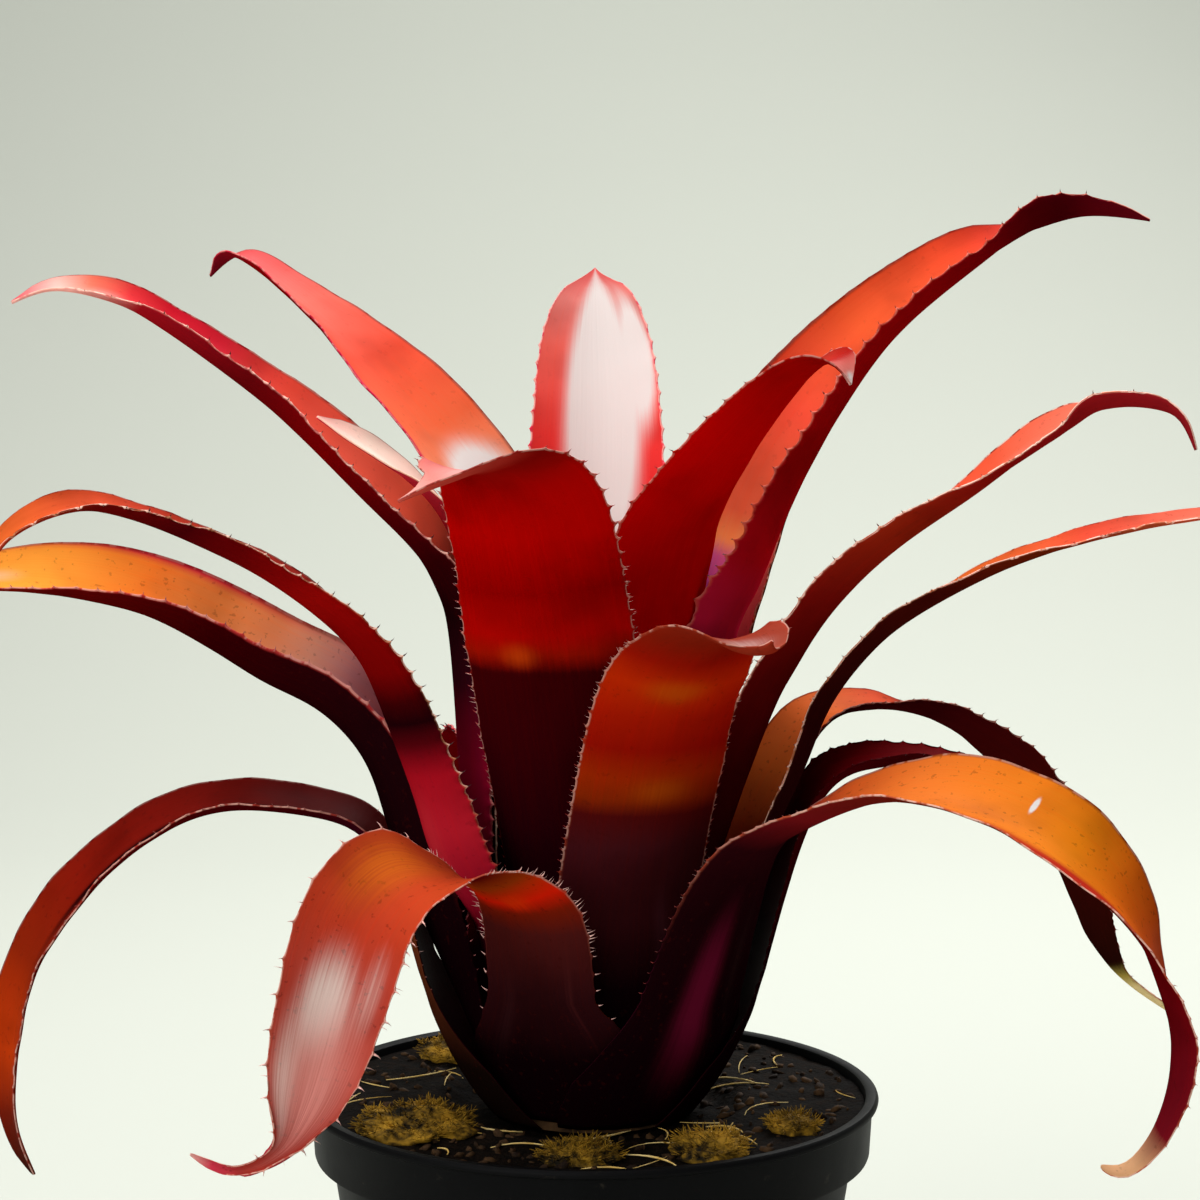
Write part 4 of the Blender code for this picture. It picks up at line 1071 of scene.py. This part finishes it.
def lay_moss(name, settings):
    """One clump of moss: a lumpy cushion under many short bent strands."""
    centre_x, centre_y, radius, height = MOSS[name]
    dice = Random(name)
    bm = bmesh.new()
    bmesh.ops.create_icosphere(bm, subdivisions=4, radius=1.0)
    centre = Vector((centre_x, centre_y, 0)) * MM
    for vert in bm.verts:
        lump = 1 + 0.3 * noise.noise(vert.co * 2.3 + centre * 40) + 0.12 * noise.noise(vert.co * 7)
        flat = Vector((vert.co.x, vert.co.y, 0)) * radius * MM * min(lump, 1.15) * 0.97
        ground = SOIL_EDGE + GAP
        vert.co = centre + flat + UP * (ground + max(vert.co.z, -0.2) * height * MM * lump * 0.8)
    strand = bmesh.new()
    draw_fibre(strand, [Vector((0.12 * t * t, 0, t)) for t in (0, 0.35, 0.7, 1)], 0.09, 3)
    bmesh.ops.recalc_face_normals(strand, faces=strand.faces)
    for face in strand.faces:
        face.material_index = 1
    template = finish_mesh("strand", strand)
    roots = [(v.co.copy(), v.normal.copy()) for v in bm.verts if v.co.z > SOIL_EDGE + 1.5 * MM]
    for _ in range(STRANDS_PER_RADIUS * radius):
        spot, away = dice.choice(roots)
        lean = (away + Vector([dice.gauss(0, 0.7) for _ in range(3)])).normalized()
        lean.z = abs(lean.z) * 0.6
        turn = UP.rotation_difference(lean.normalized()) @ Quaternion(UP, dice.uniform(0, tau))
        size = dice.uniform(1.6, 4.2) * MM
        thick = dice.uniform(1.4, 2.6) * MM
        shape = Matrix.Diagonal((thick, thick, size, 1))
        add_copy(bm, template, Matrix.Translation(spot) @ turn.to_matrix().to_4x4() @ shape)
    bpy.data.meshes.remove(template)
    finishes = [fibre_finish(f"{name}_cushion", (20, 16, 8), settings.moss, 400),
                fibre_finish(f"{name}_strands", settings.moss, settings.moss_light, 200)]
    add_piece(f"{name}_clump", bm, finishes, "moss", name)


def finish_stem(settings):
    """A rough brown skin for the stem."""
    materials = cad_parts["stem"].data.materials
    materials.clear()
    materials.append(fibre_finish("stem_skin", settings.bark, settings.bark_light, 300))


# Stage
CAMERA_AIM = Vector((0.0027, 0, 0.3175))
CAMERA_DISTANCE = 1.3
CAMERA_PITCH = radians(8.2)
CAMERA_LENS = 115.9
FLOOR_HALF = 3.0
WALL_DISTANCE = 1.9
WALL_HEIGHT = 3.2
SWEEP_RADIUS = 0.8
LIGHT_AIM = Vector((0, 0, 0.3))


def set_stage(settings):
    """A pale sweep under and behind the plant, soft lights and the camera."""
    bm = bmesh.new()
    bend = WALL_DISTANCE - SWEEP_RADIUS
    run = [(-FLOOR_HALF, 0.0), (bend, 0.0)]
    run += [(bend + SWEEP_RADIUS * sin(a), SWEEP_RADIUS - SWEEP_RADIUS * cos(a))
            for a in np.linspace(0.15, pi / 2, 12)]
    run.append((WALL_DISTANCE, WALL_HEIGHT))
    verts = [bm.verts.new((-FLOOR_HALF, y, z)) for y, z in run]
    edges = [bm.edges.new(pair) for pair in zip(verts, verts[1:])]
    swept = bmesh.ops.extrude_edge_only(bm, edges=edges)["geom"]
    moved = [g for g in swept if isinstance(g, bmesh.types.BMVert)]
    bmesh.ops.translate(bm, verts=moved, vec=(2 * FLOOR_HALF, 0, 0))
    bmesh.ops.recalc_face_normals(bm, faces=bm.faces)
    finish = Finish("sweep_paper").surface(Base_Color=display(settings.paper), Roughness=0.9)
    sweep = put_in_scene("sweep", finish_mesh("sweep", bm, [finish.material]))
    sweep.data.shade_smooth()

    for name, spot, size, power in (
            ("back_light", (0.5, 1.1, 1.5), 1.2, settings.back_power),
            ("top_light", (-0.5, -0.1, 1.7), 1.0, settings.top_power),
            ("front_light", (-0.9, -1.5, 0.9), 1.3, settings.front_power)):
        light = bpy.data.lights.new(name, "AREA")
        light.size = size
        light.energy = power
        lamp = put_in_scene(name, light)
        lamp.location = spot
        lamp.rotation_euler = (LIGHT_AIM - Vector(spot)).to_track_quat("-Z", "Y").to_euler()

    world = bpy.data.worlds.new("studio")
    world.use_nodes = True
    background = world.node_tree.nodes["Background"].inputs
    background["Color"].default_value = display(settings.sky)
    background["Strength"].default_value = settings.ambient
    bpy.context.scene.world = world
    bpy.context.scene.view_settings.view_transform = "Standard"

    camera = put_in_scene("camera", bpy.data.cameras.new("camera"))
    camera.data.lens = CAMERA_LENS
    camera.data.sensor_width = 36
    back = Vector((0, -cos(CAMERA_PITCH), sin(CAMERA_PITCH)))
    camera.location = CAMERA_AIM + CAMERA_DISTANCE * back
    camera.rotation_euler = (-back).to_track_quat("-Z", "Y").to_euler()
    bpy.context.scene.camera = camera


def tint(name, description, colour):
    """A colour setting, in 8-bit display values."""
    return bpy.props.IntVectorProperty(name=name, description=description, default=colour,
                                       min=0, max=255, size=3)


def measure(name, description, default, high, low=0, **kind):
    """A number setting."""
    return bpy.props.FloatProperty(name=name, description=description, default=default,
                                   min=low, max=high, **kind)


class LeafSettings(bpy.types.PropertyGroup):
    """Sizes that all leaves share."""

    ripple: measure("Ripple", "Height of the waves along a leaf's edges", RIPPLE_HEIGHT, 5 * MM,
                    subtype="DISTANCE", unit="LENGTH")
    tooth_scale: measure("Tooth Scale", "Size of the teeth along the edges", 1.0, 3.0, 0.2,
                         subtype="FACTOR")


class PotSettings(bpy.types.PropertyGroup):
    """The nursery pot."""

    segments: bpy.props.IntProperty(name="Segments", description="Flats round the pot", default=128,
                                    min=32, max=256)
    colour: tint("Plastic", "Colour of the pot's plastic", (6, 6, 7))


class SoilSettings(bpy.types.PropertyGroup):
    """Soil, litter and moss."""

    soil: tint("Soil", "Colour of the damp potting mix", (9, 6, 4))
    crumb: tint("Crumb", "Colour of its lighter crumbs", (24, 16, 10))
    bark: tint("Bark", "Colour of the bark chips", (24, 15, 9))
    bark_light: tint("Pale Bark", "Colour of the pale side of the bark", (74, 52, 30))
    straw: tint("Straw", "Colour of the dry straws", (206, 168, 84))
    moss: tint("Moss", "Colour of the moss", (172, 130, 36))
    moss_light: tint("Pale Moss", "Colour of the moss tips", (255, 238, 164))


class StageSettings(bpy.types.PropertyGroup):
    """Floor and lights."""

    paper: tint("Paper", "Colour of the floor and backdrop", (174, 177, 168))
    sky: tint("Sky", "Colour of the light from all round", (226, 229, 222))
    ambient: measure("Ambient", "Strength of the light from all round", 0.34, 3)
    back_power: measure("Back Light", "Power of the soft light behind", 46, 500, unit="POWER")
    top_power: measure("Top Light", "Power of the soft light above", 24, 500, unit="POWER")
    front_power: measure("Front Light", "Power of the soft light in front", 20, 500, unit="POWER")


GROUPS = {
    "centre": ("back_upright", "front_tall", "front_short", "right_broad", "left_short", "heart"),
    "left": ("left_drooping", "left_middle", "left_upper", "left_long", "back_left", "front_drooping"),
    "right": ("right_low", "right_drooping", "right_dry_tip", "right_thin", "right_arched",
              "right_behind", "right_long"),
    "back": ("back_low_left", "back_low_right", "back_short_left", "back_arched"),
}


def grow_group(group, settings):
    """Grows the leaves of one group."""
    for name in GROUPS[group]:
        grow_leaf(name, settings)


class BROMELIAD_OT_grow_centre(bpy.types.Operator):
    """Grow the upright leaves round the heart"""

    bl_idname = "bromeliad.grow_centre"
    bl_label = "Grow Centre Leaves"

    def execute(self, context):
        grow_group("centre", context.scene.bromeliad_leaves)
        return {"FINISHED"}


class BROMELIAD_OT_grow_left(bpy.types.Operator):
    """Grow the leaves that arch to the left and hang in front"""

    bl_idname = "bromeliad.grow_left"
    bl_label = "Grow Left Leaves"

    def execute(self, context):
        grow_group("left", context.scene.bromeliad_leaves)
        return {"FINISHED"}


class BROMELIAD_OT_grow_right(bpy.types.Operator):
    """Grow the leaves that arch to the right"""

    bl_idname = "bromeliad.grow_right"
    bl_label = "Grow Right Leaves"

    def execute(self, context):
        grow_group("right", context.scene.bromeliad_leaves)
        return {"FINISHED"}


class BROMELIAD_OT_grow_back(bpy.types.Operator):
    """Grow the leaves behind"""

    bl_idname = "bromeliad.grow_back"
    bl_label = "Grow Back Leaves"

    def execute(self, context):
        grow_group("back", context.scene.bromeliad_leaves)
        return {"FINISHED"}


class BROMELIAD_OT_turn_pot(bpy.types.Operator):
    """Turn the nursery pot and drill its drain holes"""

    bl_idname = "bromeliad.turn_pot"
    bl_label = "Turn Pot"

    def execute(self, context):
        turn_pot(context.scene.bromeliad_pot)
        return {"FINISHED"}


class BROMELIAD_OT_fill_soil(bpy.types.Operator):
    """Fill the pot with potting mix round the rough stem"""

    bl_idname = "bromeliad.fill_soil"
    bl_label = "Fill Soil"

    def execute(self, context):
        fill_soil(context.scene.bromeliad_soil)
        finish_stem(context.scene.bromeliad_soil)
        return {"FINISHED"}


class BROMELIAD_OT_scatter_litter(bpy.types.Operator):
    """Scatter bark chips and dry straws over the soil"""

    bl_idname = "bromeliad.scatter_litter"
    bl_label = "Scatter Litter"

    def execute(self, context):
        scatter_chips(context.scene.bromeliad_soil)
        scatter_straw(context.scene.bromeliad_soil)
        return {"FINISHED"}


class BROMELIAD_OT_lay_moss(bpy.types.Operator):
    """Lay clumps of moss on the soil"""

    bl_idname = "bromeliad.lay_moss"
    bl_label = "Lay Moss"

    def execute(self, context):
        for name in MOSS:
            lay_moss(name, context.scene.bromeliad_soil)
        return {"FINISHED"}


class BROMELIAD_OT_set_stage(bpy.types.Operator):
    """Set the pale floor, the soft lights and the camera"""

    bl_idname = "bromeliad.set_stage"
    bl_label = "Set Stage"

    def execute(self, context):
        set_stage(context.scene.bromeliad_stage)
        return {"FINISHED"}


OPERATORS = (
    BROMELIAD_OT_turn_pot, BROMELIAD_OT_fill_soil, BROMELIAD_OT_scatter_litter, BROMELIAD_OT_lay_moss,
    BROMELIAD_OT_grow_centre, BROMELIAD_OT_grow_left, BROMELIAD_OT_grow_right, BROMELIAD_OT_grow_back,
    BROMELIAD_OT_set_stage,
)


class BROMELIAD_PT_panel(bpy.types.Panel):
    """The plant's settings and the operators that make it."""

    bl_idname = "BROMELIAD_PT_panel"
    bl_label = "Potted Bromeliad"
    bl_space_type = "VIEW_3D"
    bl_region_type = "UI"
    bl_category = "Bromeliad"

    def draw(self, context):
        for key in SETTINGS:
            group = getattr(context.scene, key)
            box = self.layout.box()
            for prop in group.bl_rna.properties:
                if prop.identifier not in ("rna_type", "name"):
                    box.prop(group, prop.identifier)
        for operator in OPERATORS:
            self.layout.operator(operator.bl_idname)


SETTINGS = {
    "bromeliad_leaves": LeafSettings, "bromeliad_pot": PotSettings, "bromeliad_soil": SoilSettings,
    "bromeliad_stage": StageSettings,
}
CLASSES = (*SETTINGS.values(), *OPERATORS, BROMELIAD_PT_panel)


def register():
    for item in CLASSES:
        bpy.utils.register_class(item)
    for key, group in SETTINGS.items():
        setattr(bpy.types.Scene, key, bpy.props.PointerProperty(type=group))


def unregister():
    for key in SETTINGS:
        delattr(bpy.types.Scene, key)
    for item in reversed(CLASSES):
        bpy.utils.unregister_class(item)


def main():
    register()
    for operator in OPERATORS:
        group, name = operator.bl_idname.split(".")
        getattr(getattr(bpy.ops, group), name)()


if __name__ == "__main__":
    main()
